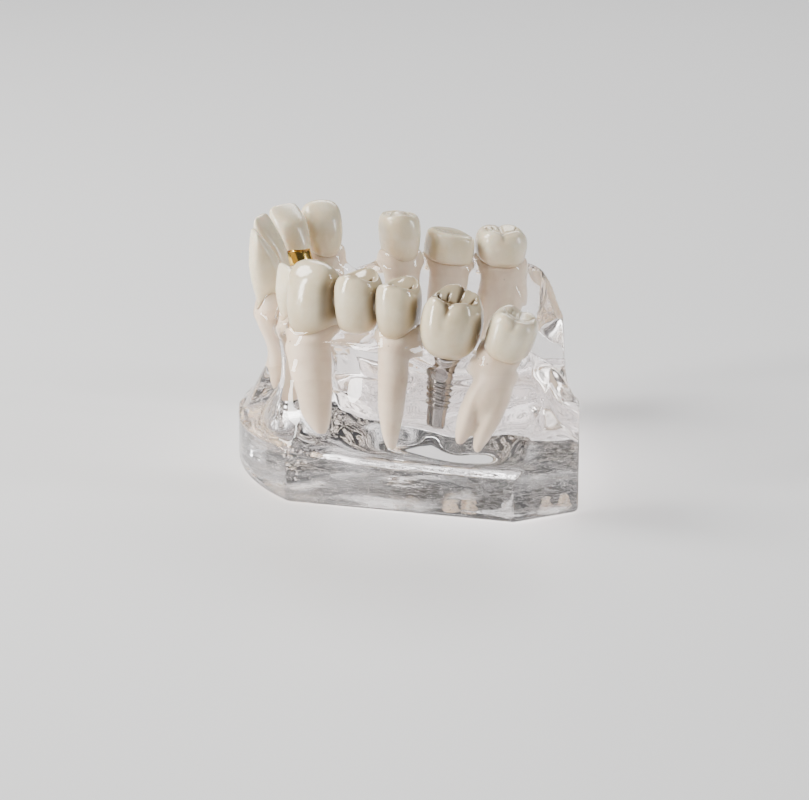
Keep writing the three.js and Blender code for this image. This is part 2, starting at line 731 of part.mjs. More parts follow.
// The shoulder over the trimmed side rises at the front corners and towards the back.
function shoulderWave(distance) {
  const away = Math.abs(distance);
  const corner = 1.3 * Math.exp(-(((away - 17) / 7) ** 2));
  const middle = 0.8 * Math.exp(-((away / 9) ** 2));
  return corner + middle + 1.2 * THREE.MathUtils.smoothstep(away, 48, 60);
}

// One section of the jaw in the direction of angle, from the bottom outside to the floor inside.
function jawSection(angle) {
  const { distance, radius } = archAt(angle);
  const { along } = archFrame(distance);
  const square = Math.max(0.55, Math.abs(along.x * Math.sin(angle) - along.y * Math.cos(angle)));
  const { height, half, lean, inset } = ridgeAt(distance);
  const side = sideReach(angle);
  const shoulder = shoulderHeight + shoulderWave(distance);
  const slant = Math.tan(degrees(lean));
  const front = Math.min(1, lean / 14);
  const middle = (z) => radius - inset - slant * (height - z) * 0.95;
  const outer = (z, extra) => Math.min(side - 0.6, middle(z) + (half + extra) / square);
  const inner = (z, extra) => middle(z) - (half + extra) / square;
  const concave = THREE.MathUtils.lerp(shoulder, height, 0.55);
  const low = THREE.MathUtils.lerp(shoulder, height, 0.24);
  const hang = outer(concave, THREE.MathUtils.lerp(0.9, -1.6, front));
  return [
    [side + 1.5, -1],
    [side + 1.5, shoulder - 1.2],
    [side - 1.0, shoulder + 0.8],
    [THREE.MathUtils.lerp(hang, side, 0.45), low],
    [hang, concave],
    [outer(height - 3, THREE.MathUtils.lerp(0.1, -0.9, front)), height - 3],
    [outer(height, -0.6), height - 0.2],
    [inner(height, -0.6), height],
    [inner(height - 3, 0.3), height - 3],
    [inner(15, 1.4), Math.min(15, height - 5)],
    [inner(11, footWidth * 0.7), floorHeight + 1.2],
    [inner(11, footWidth), floorHeight],
  ];
}

const spokes = Array.from({ length: jawSides }, (_, i) => -1.5 * Math.PI + (2 * Math.PI * i) / jawSides);
const spokeSections = spokes.map(jawSection);
const jawRows = spokeSections[0].map((_, row) => spokes.map((angle, i) => {
  const [radius, z] = spokeSections[i][row];
  return new THREE.Vector3(radius * Math.cos(angle), centre.y + radius * Math.sin(angle), z);
}));
const trimTool = new THREE.ExtrudeGeometry(outline, {
  depth: 40,
  bevelSize: bottomBevel,
  bevelThickness: bottomBevel,
  bevelOffset: -bottomBevel,
  bevelSegments: 1,
  curveSegments: 14,
}).translate(0, 0, bottomBevel);
const jawBody = solidOf(skin(jawRows)).intersect(solidOf(trimTool));
const jaw = sockets.reduce((body, socket) => body.subtract(socket), jawBody);
addMesh('clear_jaw_base', jaw, materials.jaw);

// The origin is below the middle of the base.
typodont.position.y = -(frontY + backAt.y) / 2;

export default typodont;
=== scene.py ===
# A typodont: a clear cast lower jaw with resin teeth, a porcelain bridge, an implant with its crown
# and an incisor on a gold post and core. Shapes are worked out in millimetres in the part's frame:
# +X is the patient's left, -Y the front, +Z up.
import json
import math

import bpy
import bmesh
import numpy as np
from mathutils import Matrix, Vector


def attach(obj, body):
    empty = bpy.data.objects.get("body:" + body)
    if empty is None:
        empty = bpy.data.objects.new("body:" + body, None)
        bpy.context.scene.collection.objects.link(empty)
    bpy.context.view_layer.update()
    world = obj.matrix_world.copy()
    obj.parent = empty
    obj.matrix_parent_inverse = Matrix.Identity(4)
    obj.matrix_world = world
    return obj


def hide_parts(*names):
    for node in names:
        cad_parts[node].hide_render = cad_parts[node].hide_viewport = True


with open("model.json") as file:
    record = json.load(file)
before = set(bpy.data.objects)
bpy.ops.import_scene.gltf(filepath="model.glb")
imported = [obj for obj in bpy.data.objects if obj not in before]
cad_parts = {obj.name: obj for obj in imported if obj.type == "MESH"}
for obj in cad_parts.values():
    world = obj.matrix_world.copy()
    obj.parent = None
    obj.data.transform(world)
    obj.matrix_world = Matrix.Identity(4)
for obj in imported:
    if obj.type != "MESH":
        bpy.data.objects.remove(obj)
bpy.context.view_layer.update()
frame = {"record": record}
MM = .001
rng = np.random.default_rng(7)

# ---------------------------------------------------------------- sizes
# The numbers are the solids' own, except that the crowns' tops and cusps are finer here, and the roots'
# rows a little fuller.

ARCH_HALF_WIDTH, ARCH_FRONT, ARCH_DEPTH = 27.4, -20.7, 60.7
FLOOR_HEIGHT, SHOULDER_HEIGHT, MARGIN_HEIGHT = 9.2, 7.2, 26.0
LIP_MARGIN, CORNER_MARGIN, HEEL_MARGIN, BACK_MARGIN = 6.05, 10.7, 8.0, 2.0
RETROMOLAR_LENGTH, HEEL_HALF_WIDTH = 6.4, 4.6
FOOT_WIDTH, GUM_THICKNESS, CREST_DROP = 4.6, 1.1, .5
CONTACT_GAP, SEAT_GAP = .36, .3
SHOULDER_WIDTH, STUMP_SHARE, STUMP_TAPER = 1.0, .62, .74
CONNECTOR_HEIGHT, CONNECTOR_DEPTH, PONTIC_LIFT = 3.6, 3.4, .5
FIXTURE_LENGTH, FIXTURE_RADIUS, FIXTURE_TAPER = 9.9, 2.0, .25
APEX_LENGTH, APEX_RADIUS = 3.2, 1.45
THREAD_DEPTH, THREAD_COUNT = .3, 5
COLLAR_RADIUS, COLLAR_HEIGHT = 2.2, 1.8
WELL_RADIUS, WELL_DEPTH, VENT_RADIUS = 1.0, 5.6, .5
ABUTMENT_RADIUS, ABUTMENT_FLANGE, ABUTMENT_HEIGHT = 1.9, 2.4, 6.0
SCREW_RADIUS, SCREW_HEAD_RADIUS, SCREW_SEAT = .66, .95, 2.0
CROWN_SEAT = SEAT_GAP + 1.2
POST_LENGTH, POST_TIP_RADIUS, POST_RADIUS = 7.0, .45, .8
CORE_COLLAR, CORE_HEIGHT = 2.7, 7.2

# How finely the round shapes are divided
CROWN_SIDES, CROWN_SPAN = 144, 9
ROOT_SIDES, ROOT_SPAN = 64, 8
OUTLINE_STEPS, SPOKES = 72, 300
FIXTURE_SIDES, SCREW_SIDES = 96, 64

# Voxel size and smoothing passes of each remeshed body
RIDGE_VOXEL, RIDGE_PASSES = .34, 8
TRIMMED_VOXEL, TRIMMED_PASSES = .25, 9
ROOT_VOXEL, ROOT_PASSES = .3, 8

CASTING_WAVE = .09          # unevenness of the poured resin
FLAT_NEAR, FLAT_FAR = .04, .14  # points this near a trimmed face go onto it; this far, they stay
FARTHEST_REACH = 55         # where a spoke that misses the trimmed sides is cut off
DENT_EASE = -.06            # crowns sink this much into the dents that they leave in the ridge
CAVITY_GAP = SEAT_GAP * .8  # between a stump and the crown over it
MARGIN_BUBBLES, DEEP_BUBBLES = 5, 18

# Crown rows are [height, width, depth, shift towards the tongue], and cusps are [x, y, high, spread along
# the arch, spread across it], all as shares of the crown's own size.
FORMS = {
    "incisor": dict(
        rows=[[0, .72, .88, .04], [.12, .8, .96, .06], [.3, .9, 1, .06],
              [.5, .97, .94, .06], [.68, 1, .72, .02], [.84, .98, .45, -.04],
              [.94, .88, .24, -.07], [.985, .66, .13, -.08], [1, .36, .07, -.08]],
        square=2.3, scallop=1.2,
        cusps=[]),
    "canine": dict(
        rows=[[0, .84, .88, 0], [.12, .93, .97, 0], [.35, 1, 1, 0], [.6, 1, .92, 0],
              [.78, .95, .74, -.04], [.9, .8, .5, -.06], [.97, .54, .3, -.06],
              [1, .22, .12, -.06]],
        square=2.3, scallop=.7,
        cusps=[]),
    "premolar": dict(
        rows=[[0, .82, .86, 0], [.15, .9, .94, 0], [.4, .96, 1, 0], [.66, .99, .95, 0],
              [.8, .94, .87, 0], [.87, .83, .76, 0], [.86, .74, .66, 0], [.82, .46, .4, 0],
              [.805, .1, .1, 0]],
        square=2.4, scallop=.6,
        cusps=[[-.08, -.62, .13, .8, .36], [.1, .62, .15, .62, .34]]),
    "molar": dict(
        rows=[[0, .88, .9, 0], [.15, .95, .97, 0], [.42, 1, 1, 0], [.66, .99, .97, 0],
              [.81, .9, .87, 0], [.88, .78, .74, 0], [.9, .66, .62, 0], [.87, .4, .38, 0],
              [.85, .1, .1, 0]],
        square=2.6, scallop=.35,
        cusps=[[-.42, -.5, .08, .42, .42], [.46, -.5, .06, .42, .4],
               [-.44, .52, .11, .38, .42], [.46, .52, .09, .36, .4]]),
    "worn": dict(
        rows=[[0, .91, .93, 0], [.06, .97, .98, 0], [.4, 1, 1, 0], [.75, .98, .96, 0],
              [.92, .93, .9, 0], [1, .82, .78, 0], [1.01, .74, .7, 0], [.98, .4, .4, 0],
              [.97, .1, .1, 0]],
        square=3, scallop=.1,
        cusps=[[.5, .3, .07, .6, .7], [-.9, -.2, -.09, .5, .9]]),
    "implant": dict(
        rows=[[0, .6, .62, 0], [.13, .84, .84, 0], [.4, 1, 1, 0], [.67, .98, .95, 0],
              [.8, .87, .83, 0], [.86, .76, .71, 0], [.85, .66, .6, 0], [.815, .42, .38, 0],
              [.8, .1, .1, 0]],
        square=2.5, scallop=0,
        cusps=[[-.47, -.62, .09, .42, .42], [.49, -.62, .085, .42, .42],
               [-.15, .6, .17, .6, .34], [.6, .5, .06, .26, .3]]),
    "pontic": dict(
        rows=[[0, .46, .42, -.1], [.05, .68, .66, -.08], [.16, .82, .86, -.04],
              [.42, .94, 1, 0], [.68, 1, .95, 0], [.8, .93, .86, 0], [.87, .82, .74, 0],
              [.86, .72, .64, 0], [.82, .46, .4, 0], [.805, .1, .1, 0]],
        square=2.4, scallop=0,
        cusps=[[0, -.62, .13, .66, .36], [.1, .62, .13, .6, .34]]),
}
# Root rows are [distance down the root, width, depth], as shares of the root's length and of its neck.
ROOT_ROWS = [[.1, .98, .99], [.3, .94, .95], [.52, .86, .87], [.74, .71, .72],
             [.91, .5, .52], [1, .24, .26]]
TRUNK_ROWS = [[.12, .99, .99], [.3, .97, .95], [.52, .9, .86], [.64, .62, .62]]
LEG_ROWS = [[.2, .44, .84], [.4, .54, .86], [.66, .49, .76], [.86, .37, .54], [1, .16, .22]]

# How deep the fissures are cut, as a share of the crown's height, and how far the crowns of the bridge
# run on towards the midline and towards the back to meet.
CARVE = {"left_first_molar": .035, "left_second_molar": .018, "right_second_molar": .05}
REACHES = {"left_canine": (0, .5), "left_first_premolar": (.4, .35), "left_second_premolar": (.3, 0)}
# How much of its form's wavy neck line the raised incisor crown keeps
RAISED_WAVE = .25
# A crown whose top is more of a dome than its form's
CUSPS = {"right_second_premolar": [[.12, -.05, .21, .62, .62], [.15, .6, .05, .5, .4]]}


def row(name, form, width, depth, height, rise, **more):
    base = dict(name=name, form=form, width=width, depth=depth, height=height, rise=rise, lean=0, tip=0,
                turn=0, inset=0, space=0, root=0, sweep=(0, 0), legs=0, carve=CARVE.get(name, .05),
                reach=REACHES.get(name, (0, 0)), wave=RAISED_WAVE if name == "right_lateral_incisor" else 1)
    return base | more


LEFT = [
    row("left_central_incisor", "incisor", 5.3, 5.2, 11.6, 1.2, lean=12, inset=-.8, root=17),
    row("left_lateral_incisor", "incisor", 5.4, 5, 7.8, .6, lean=10, tip=3, inset=1, root=16, space=.4),
    row("left_canine", "canine", 8.1, 8.4, 10.6, -.1, root=17.2, sweep=(1.6, .6)),
    row("left_first_premolar", "pontic", 6.5, 7.6, 9.6, .2, space=.4),
    row("left_second_premolar", "premolar", 6.5, 8, 7.9, 1.2, root=18, sweep=(-.6, .2), space=.1),
    row("left_first_molar", "implant", 9.2, 9.8, 10.2, -1.8, tip=6.5, inset=-.8),
    row("left_second_molar", "molar", 7.5, 8.8, 6.6, -.9, tip=19, root=15.4, legs=2),
]
RIGHT = [
    row("right_central_incisor", "incisor", 5.3, 5.2, 12, 1.4, lean=13, turn=12, root=17),
    row("right_lateral_incisor", "incisor", 5.9, 5.4, 11.2, 2.8, lean=25, turn=22, inset=1.8,
        root=17, sweep=(0, -1.6), space=.3),
    row("right_canine", "canine", 6.7, 7.2, 8.4, 4.2, lean=8, turn=18, root=20, space=1.1),
    row("right_first_premolar", "missing", 6.8, 6, 0, .4),
    row("right_second_premolar", "premolar", 6.7, 7.8, 7.3, 2, lean=3, root=17.4),
    row("right_first_molar", "worn", 7.7, 8.4, 4.7, .3, tip=8, root=16.4, legs=2, space=.9),
    row("right_second_molar", "molar", 8.5, 8.8, 5.6, -.4, tip=4, root=16, legs=2, space=.6),
]
RETROMOLAR = {1: (-.6, -9.5), -1: (-2.6, -13.0)}
TEETH = {t["name"]: t for t in LEFT + RIGHT}

# ---------------------------------------------------------------- the arch, as a centripetal curve

HALF_ARCH = np.array([[0, 0], [.255, .028], [.49, .097], [.65, .216],
                      [.814, .384], [.927, .547], [.985, .736], [1, 1]])


def catmull(points, per_span):
    """Dense points on the centripetal Catmull-Rom curve through points."""
    ends = np.vstack([2 * points[0] - points[1], points, 2 * points[-1] - points[-2]])
    w = np.linspace(0, 1, per_span, endpoint=False)[:, None]
    out = []
    for p0, p1, p2, p3 in zip(ends, ends[1:], ends[2:], ends[3:]):
        d0, d1, d2 = (np.linalg.norm(b - a) ** .5 for a, b in ((p0, p1), (p1, p2), (p2, p3)))
        m1 = ((p1 - p0) / d0 - (p2 - p0) / (d0 + d1) + (p2 - p1) / d1) * d1
        m2 = ((p2 - p1) / d1 - (p3 - p1) / (d1 + d2) + (p3 - p2) / d2) * d1
        out.append(p1 + m1 * w + (-3 * p1 + 3 * p2 - 2 * m1 - m2) * w**2 + (2 * p1 - 2 * p2 + m1 + m2) * w**3)
    return np.vstack(out + [points[-1:]])


half = np.column_stack([ARCH_HALF_WIDTH * HALF_ARCH[:, 0], ARCH_FRONT + ARCH_DEPTH * HALF_ARCH[:, 1]])
curve = catmull(np.vstack([half[:0:-1] * [-1, 1], half]), 200)
curve_at = np.concatenate([[0], np.cumsum(np.linalg.norm(np.diff(curve, axis=0), axis=1))])
curve_at -= curve_at[-1] / 2
tangents = np.gradient(curve, axis=0)
tangents /= np.linalg.norm(tangents, axis=1)[:, None]


def arch_frame(distance):
    """The point of the arch this far from the midline, the way along it and the way inwards."""
    point, along = (np.array([np.interp(distance, curve_at, v[:, k]) for k in (0, 1)])
                    for v in (curve, tangents))
    along /= np.linalg.norm(along)
    return point, along, np.array([-along[1], along[0]])


def turn_matrix(axis, angle):
    c, s = math.cos(math.radians(angle)), math.sin(math.radians(angle))
    i, j = [(1, 2), (2, 0), (0, 1)][axis]
    m = np.eye(3)
    m[i, i] = m[j, j] = c
    m[i, j], m[j, i] = -s, s
    return m


def place_teeth(teeth, side):
    reached = CONTACT_GAP / 2
    for t in teeth:
        reached += t["space"]
        t["side"], t["distance"] = side, side * (reached + t["width"] / 2)
        reached += t["width"] + CONTACT_GAP
        point, along, inward = arch_frame(t["distance"])
        basis = np.array([[*along, 0], [*inward, 0], [0, 0, 1]]).T
        t["basis"] = (basis @ turn_matrix(2, side * t["turn"]) @ turn_matrix(1, side * t["tip"])
                      @ turn_matrix(0, t["lean"]))
        t["origin"] = np.array([*(point + inward * t["inset"]), MARGIN_HEIGHT + t["rise"]])
    return reached


REACH = {1: place_teeth(LEFT, 1), -1: place_teeth(RIGHT, -1)}
BACK_DISTANCE = max(REACH.values()) + RETROMOLAR_LENGTH

# ---------------------------------------------------------------- the outline of the trimmed base

canine, pontic, premolar, implant, last_molar = LEFT[2:]
restored = TEETH["right_lateral_incisor"]


def offset_point(distance, margin):
    point, _, inward = arch_frame(distance)
    return point - inward * margin


corner = offset_point(canine["distance"] + canine["width"] / 5, CORNER_MARGIN)
heel = offset_point(last_molar["distance"] + last_molar["width"] / 3, HEEL_MARGIN)
back = offset_point(BACK_DISTANCE, BACK_MARGIN)
FRONT_Y = ARCH_FRONT - LIP_MARGIN
arc_rise = corner[1] - FRONT_Y
arc_radius = (corner[0] ** 2 + arc_rise**2) / (2 * arc_rise)
arc_half = math.asin(corner[0] / arc_radius)
CENTRE_Y = back[1] - 20.75
SHIFT = np.array([0, -(FRONT_Y + back[1]) / 2, 0])


def outline(inset):
    """The outline of the base, counter-clockwise from above, drawn in by inset."""
    turns = np.linspace(-arc_half, arc_half, OUTLINE_STEPS) - math.pi / 2
    arc = np.column_stack([arc_radius * np.cos(turns), FRONT_Y + arc_radius + arc_radius * np.sin(turns)])
    points = np.vstack([arc, heel, back, back * [-1, 1], heel * [-1, 1]])
    before, after = np.roll(points, 1, 0), np.roll(points, -1, 0)
    n0, n1 = (np.column_stack([d[:, 1], -d[:, 0]]) / np.linalg.norm(d, axis=1)[:, None]
              for d in (points - before, after - points))
    return points - inset * (n0 + n1) / (1 + (n0 * n1).sum(1))[:, None]


def side_reach(angle):
    """How far the trimmed side is from the centre on the spoke at angle."""
    dx, dy = math.cos(angle), math.sin(angle)
    run = heel - corner
    across = abs(dx)
    cross = across * run[1] - dy * run[0]
    to_corner = np.array([corner[0], corner[1] - CENTRE_Y])
    ray = (to_corner[0] * run[1] - to_corner[1] * run[0]) / cross
    along = (to_corner[0] * dy - to_corner[1] * across) / cross
    if ray > 0 and along >= 0:
        return min(ray, FARTHEST_REACH)
    if dy > 0:
        return FARTHEST_REACH
    drop = FRONT_Y + arc_radius - CENTRE_Y
    return min(FARTHEST_REACH, dy * drop + math.sqrt((dy * drop) ** 2 - drop**2 + arc_radius**2))


# ---------------------------------------------------------------- the ridge

def station(t):
    """Where a tooth is along the arch, and the ridge's height, half width, lean and inset there."""
    form = FORMS.get(t["form"])
    gum_only = t["form"] in ("pontic", "missing")
    drop = PONTIC_LIFT if t["form"] == "pontic" else CREST_DROP
    return (t["distance"], MARGIN_HEIGHT + t["rise"] - (form["scallop"] if form else 0) - drop,
            t["depth"] * (.36 if gum_only else .45) + GUM_THICKNESS, t["lean"], t["inset"])


def heel_stations(side):
    places = zip((REACH[side] + .2, BACK_DISTANCE, BACK_DISTANCE + 12),
                 (*RETROMOLAR[side], RETROMOLAR[side][1] - 6))
    return [(side * d, MARGIN_HEIGHT + h, HEEL_HALF_WIDTH, 0, 0) for d, h in places]


stations = np.array(sorted([station(t) for t in TEETH.values()] + heel_stations(1) + heel_stations(-1)))


def ridge_at(distance):
    """Height, half width, lean and inset of the ridge, eased between the teeth."""
    d = stations[:, 0]
    if distance <= d[0] or distance >= d[-1]:
        return stations[0 if distance <= d[0] else -1, 1:]
    k = np.searchsorted(d, distance) - 1
    s = (distance - d[k]) / (d[k + 1] - d[k])
    return stations[k, 1:] + (stations[k + 1, 1:] - stations[k, 1:]) * (.35 * s + .65 * s * s * (3 - 2 * s))


spoke_angles = np.arctan2(curve[:, 1] - CENTRE_Y, curve[:, 0])
spoke_angles[spoke_angles > math.pi / 2] -= 2 * math.pi
spoke_radii = np.hypot(curve[:, 0], curve[:, 1] - CENTRE_Y)


def smoothstep(x, a, b):
    s = np.clip((x - a) / (b - a), 0, 1)
    return s * s * (3 - 2 * s)


def lerp(a, b, s):
    return a + (b - a) * s


def shoulder_wave(distance):
    away = abs(distance)
    return (1.3 * math.exp(-(((away - 17) / 7) ** 2)) + .8 * math.exp(-((away / 9) ** 2))
            + 1.2 * smoothstep(away, 48, 60))


def jaw_section(angle):
    """The jaw's section on one spoke, as [radius, height] from the side over the ridge to the floor."""
    distance = np.interp(angle, spoke_angles, curve_at)
    radius = np.interp(angle, spoke_angles, spoke_radii)
    _, along, _ = arch_frame(distance)
    square = max(.55, abs(along[0] * math.sin(angle) - along[1] * math.cos(angle)))
    height, half_width, lean, inset = ridge_at(distance)
    side, shoulder = side_reach(angle), SHOULDER_HEIGHT + shoulder_wave(distance)
    slant, front = math.tan(math.radians(lean)), min(1, lean / 14)
    middle = lambda z: radius - inset - slant * (height - z) * .95
    outer = lambda z, extra: min(side - .6, middle(z) + (half_width + extra) / square)
    inner = lambda z, extra: middle(z) - (half_width + extra) / square
    concave, low = lerp(shoulder, height, .55), lerp(shoulder, height, .24)
    hang = outer(concave, lerp(.9, -1.6, front))
    foot = inner(11, FOOT_WIDTH)
    return np.array([
        [side + 1.5, -1], [side + 1.5, shoulder - 1.2], [side - 1, shoulder + .8],
        [lerp(hang, side, .45), low], [hang, concave],
        [outer(height - 3, lerp(.1, -.9, front)), height - 3], [outer(height, -.6), height - .2],
        [inner(height, -.6), height], [inner(height - 3, .3), height - 3],
        [inner(15, 1.4), min(15, height - 5)], [inner(11, FOOT_WIDTH * .7), FLOOR_HEIGHT + 1.3],
        [foot, FLOOR_HEIGHT + .4], [foot * .7, FLOOR_HEIGHT - .05], [foot * .35, FLOOR_HEIGHT - .3],
    ])


def smooth_rows(rows, per_span, tension=.5):
    """Catmull-Rom through the rows, for any number of columns."""
    rows = np.asarray(rows, float)
    ends = np.concatenate([rows[:1], rows, rows[-1:]])
    w = np.linspace(0, 1, per_span, endpoint=False).reshape((-1,) + (1,) * (rows.ndim - 1))
    out = []
    for p0, p1, p2, p3 in zip(ends, ends[1:], ends[2:], ends[3:]):
        m1, m2 = (p2 - p0) * tension, (p3 - p1) * tension
        out.append(p1 + m1 * w + (-3 * p1 + 3 * p2 - 2 * m1 - m2) * w**2 + (2 * p1 - 2 * p2 + m1 + m2) * w**3)
    return np.concatenate(out + [rows[-1:]])


# ---------------------------------------------------------------- meshes

def new_object(name, verts, faces, smooth=True):
    mesh = bpy.data.meshes.new(name)
    mesh.from_pydata((np.asarray(verts) * MM).tolist(), [], faces)
    mesh.validate()
    obj = bpy.data.objects.new(name, mesh)
    bpy.context.scene.collection.objects.link(obj)
    mesh.polygons.foreach_set("use_smooth", [smooth] * len(mesh.polygons))
    return obj


def walls(count, sides):
    """The faces between each ring and the next."""
    return [(r * sides + s, r * sides + (s + 1) % sides, (r + 1) * sides + (s + 1) % sides,
             (r + 1) * sides + s) for r in range(count - 1) for s in range(sides)]


def loft(name, rings):
    """A closed surface through rings of equal length, each end closed by a fan to its middle."""
    rings = np.asarray(rings)
    count, sides = rings.shape[:2]
    faces = walls(count, sides)
    verts = np.vstack([rings.reshape(-1, 3), rings[0].mean(0), rings[-1].mean(0)])
    bottom, top = len(verts) - 2, len(verts) - 1
    for s in range(sides):
        n = (s + 1) % sides
        faces.append((bottom, n, s))
        faces.append((top, (count - 1) * sides + s, (count - 1) * sides + n))
    return new_object(name, verts, faces)


def apply(obj):
    """Makes every modifier on obj part of its mesh."""
    graph = bpy.context.evaluated_depsgraph_get()
    mesh = bpy.data.meshes.new_from_object(obj.evaluated_get(graph))
    obj.modifiers.clear()
    old, obj.data = obj.data, mesh
    bpy.data.meshes.remove(old)
    mesh.polygons.foreach_set("use_smooth", [True] * len(mesh.polygons))
    return obj


def drop(*objects):
    for obj in objects:
        mesh = obj.data
        bpy.data.objects.remove(obj)
        bpy.data.meshes.remove(mesh)


def boolean(obj, operation, *tools):
    for tool in tools:
        mod = obj.modifiers.new("boolean", "BOOLEAN")
        mod.operation, mod.object, mod.solver = operation, tool, "MANIFOLD"
    apply(obj)
    drop(*tools)
    return obj


def join(obj, *others):
    """obj with the others' meshes added to it as they are."""
    bm = bmesh.new()
    for piece in (obj, *others):
        bm.from_mesh(piece.data)
    bm.to_mesh(obj.data)
    bm.free()
    drop(*others)
    return obj


def remesh(obj, voxel, passes):
    """obj as one skin of even faces, with its edges rounded by the smoothing passes."""
    mod = obj.modifiers.new("remesh", "REMESH")
    mod.mode, mod.voxel_size = "VOXEL", voxel * MM
    mod = obj.modifiers.new("smooth", "SMOOTH")
    mod.factor, mod.iterations = .5, passes
    return apply(obj)


def read_points(obj, what="co"):
    """The mesh's points, or their normals, as an array."""
    flat = np.empty(len(obj.data.vertices) * 3)
    obj.data.vertices.foreach_get(what, flat)
    return flat.reshape(-1, 3)


def write_points(obj, points):
    obj.data.vertices.foreach_set("co", np.ascontiguousarray(points, float).ravel())
    obj.data.update()


def wavy(obj, depth):
    """Moves each point along its normal by the slow unevenness of poured resin."""
    points, normals = read_points(obj), read_points(obj, "normal")
    x, y, z = (points / MM).T
    waves = (np.sin(.9 * x + .5 * z) * np.sin(.75 * y - .6 * z + 1)
             + .4 * np.sin(1.2 * x - .8 * y + 2) * np.sin(1.1 * z + .5 * y))
    write_points(obj, points + normals * (depth * MM * waves)[:, None])
    return obj


def flatten(obj):
    """Draws the points that lie close to a trimmed face exactly onto it; the edges stay rounded."""
    points = read_points(obj) / MM - SHIFT
    points[:, 2] *= smoothstep(np.abs(points[:, 2]), FLAT_NEAR, FLAT_FAR)
    standing = smoothstep(points[:, 2], .9, 1.2)
    plan = points[:, :2]
    right = [-1, 1]
    for a, b in ((corner, heel), (heel, back), (back, back * right), (back * right, heel * right),
                 (heel * right, corner * right)):
        along = (b - a) / np.linalg.norm(b - a)
        out = np.array([along[1], -along[0]])
        away, run = (plan - a) @ out, (plan - a) @ along
        within = (run > -.3) & (run < np.linalg.norm(b - a) + .3)
        pull = (1 - smoothstep(np.abs(away), FLAT_NEAR, FLAT_FAR)) * standing * within
        plan -= (away * pull)[:, None] * out
    spoke = plan - [0, FRONT_Y + arc_radius]
    reach = np.linalg.norm(spoke, axis=1)
    away = (reach - arc_radius) * (plan[:, 1] < corner[1])
    pull = (1 - smoothstep(np.abs(away), FLAT_NEAR, FLAT_FAR)) * standing
    plan -= spoke * (away * pull / reach)[:, None]
    write_points(obj, (points + SHIFT) * MM)
    return obj


def sharpen(obj, degrees):
    """Keeps the smooth look except across edges sharper than the angle."""
    bm = bmesh.new()
    bm.from_mesh(obj.data)
    limit = math.radians(degrees)
    for edge in bm.edges:
        edge.smooth = len(edge.link_faces) != 2 or edge.calc_face_angle(0) < limit
    bm.to_mesh(obj.data)
    bm.free()
    return obj


def in_jaw(t, points):
    """Points of a tooth's own frame, in the jaw's."""
    return points @ t["basis"].T + t["origin"] + SHIFT


def local_loft(name, t, rings):
    return loft(name, in_jaw(t, rings.reshape(-1, 3)).reshape(rings.shape))


def turns(sides):
    return 2 * np.pi * np.arange(sides) / sides


def round_ring(radius, z, sides):
    a = turns(sides)
    return np.column_stack([radius * np.cos(a), radius * np.sin(a), np.full(sides, z)])


def ring(half_width, half_depth, sides, square):
    """A rounded square, as points and the turn of each."""
    a = turns(sides)
    cos, sin = np.cos(a), np.sin(a)
    return np.column_stack([half_width * np.sign(cos) * np.abs(cos) ** (2 / square),
                            half_depth * np.sign(sin) * np.abs(sin) ** (2 / square)]), a


# ---------------------------------------------------------------- crowns and roots

def relief(cusps, x, y):
    """How high the cusps stand at a point of the chewing surface."""
    return sum((high * np.exp(-((x - cx) / along) ** 2 - ((y - cy) / across) ** 2)
                for cx, cy, high, along, across in cusps), np.zeros_like(x))


def line(x, y, start, end, width):
    """1 on the line from start to end, falling off within width."""
    (ax, ay), (bx, by) = start, end
    s = np.clip(((x - ax) * (bx - ax) + (y - ay) * (by - ay)) / ((bx - ax) ** 2 + (by - ay) ** 2), 0, 1)
    return np.exp(-((x - ax - s * (bx - ax)) ** 2 + (y - ay - s * (by - ay)) ** 2) / width**2)


def fissures(kind, x, y):
    """How deep in a fissure a point of the chewing surface is, from 0 to 1."""
    y = y + .05 * np.sin(6 * x)
    if kind in ("molar", "implant"):
        marks = [((-.5, .02), (.5, .02)), ((0, .02), (.02, -.95)), ((.12, .02), (.1, .9)),
                 ((-.5, .02), (-.6, -.24)), ((-.5, .02), (-.62, .26)), ((.5, .02), (.6, -.22)),
                 ((.5, .02), (.6, .24)), ((.28, .02), (.32, -.26)), ((-.28, .02), (-.3, .28))]
        widths = [.085, .1, .075, .05, .05, .05, .05, .045, .045]
    elif kind in ("premolar", "pontic"):
        marks = [((-.4, .02), (.4, .02)), ((-.4, .02), (-.52, -.22)), ((-.4, .02), (-.5, .24)),
                 ((.4, .02), (.52, -.2)), ((.4, .02), (.5, .24))]
        widths = [.09, .06, .06, .06, .06]
    else:
        return np.zeros_like(x)
    return np.max([line(x, y, a, b, w) for (a, b), w in zip(marks, widths)], axis=0)


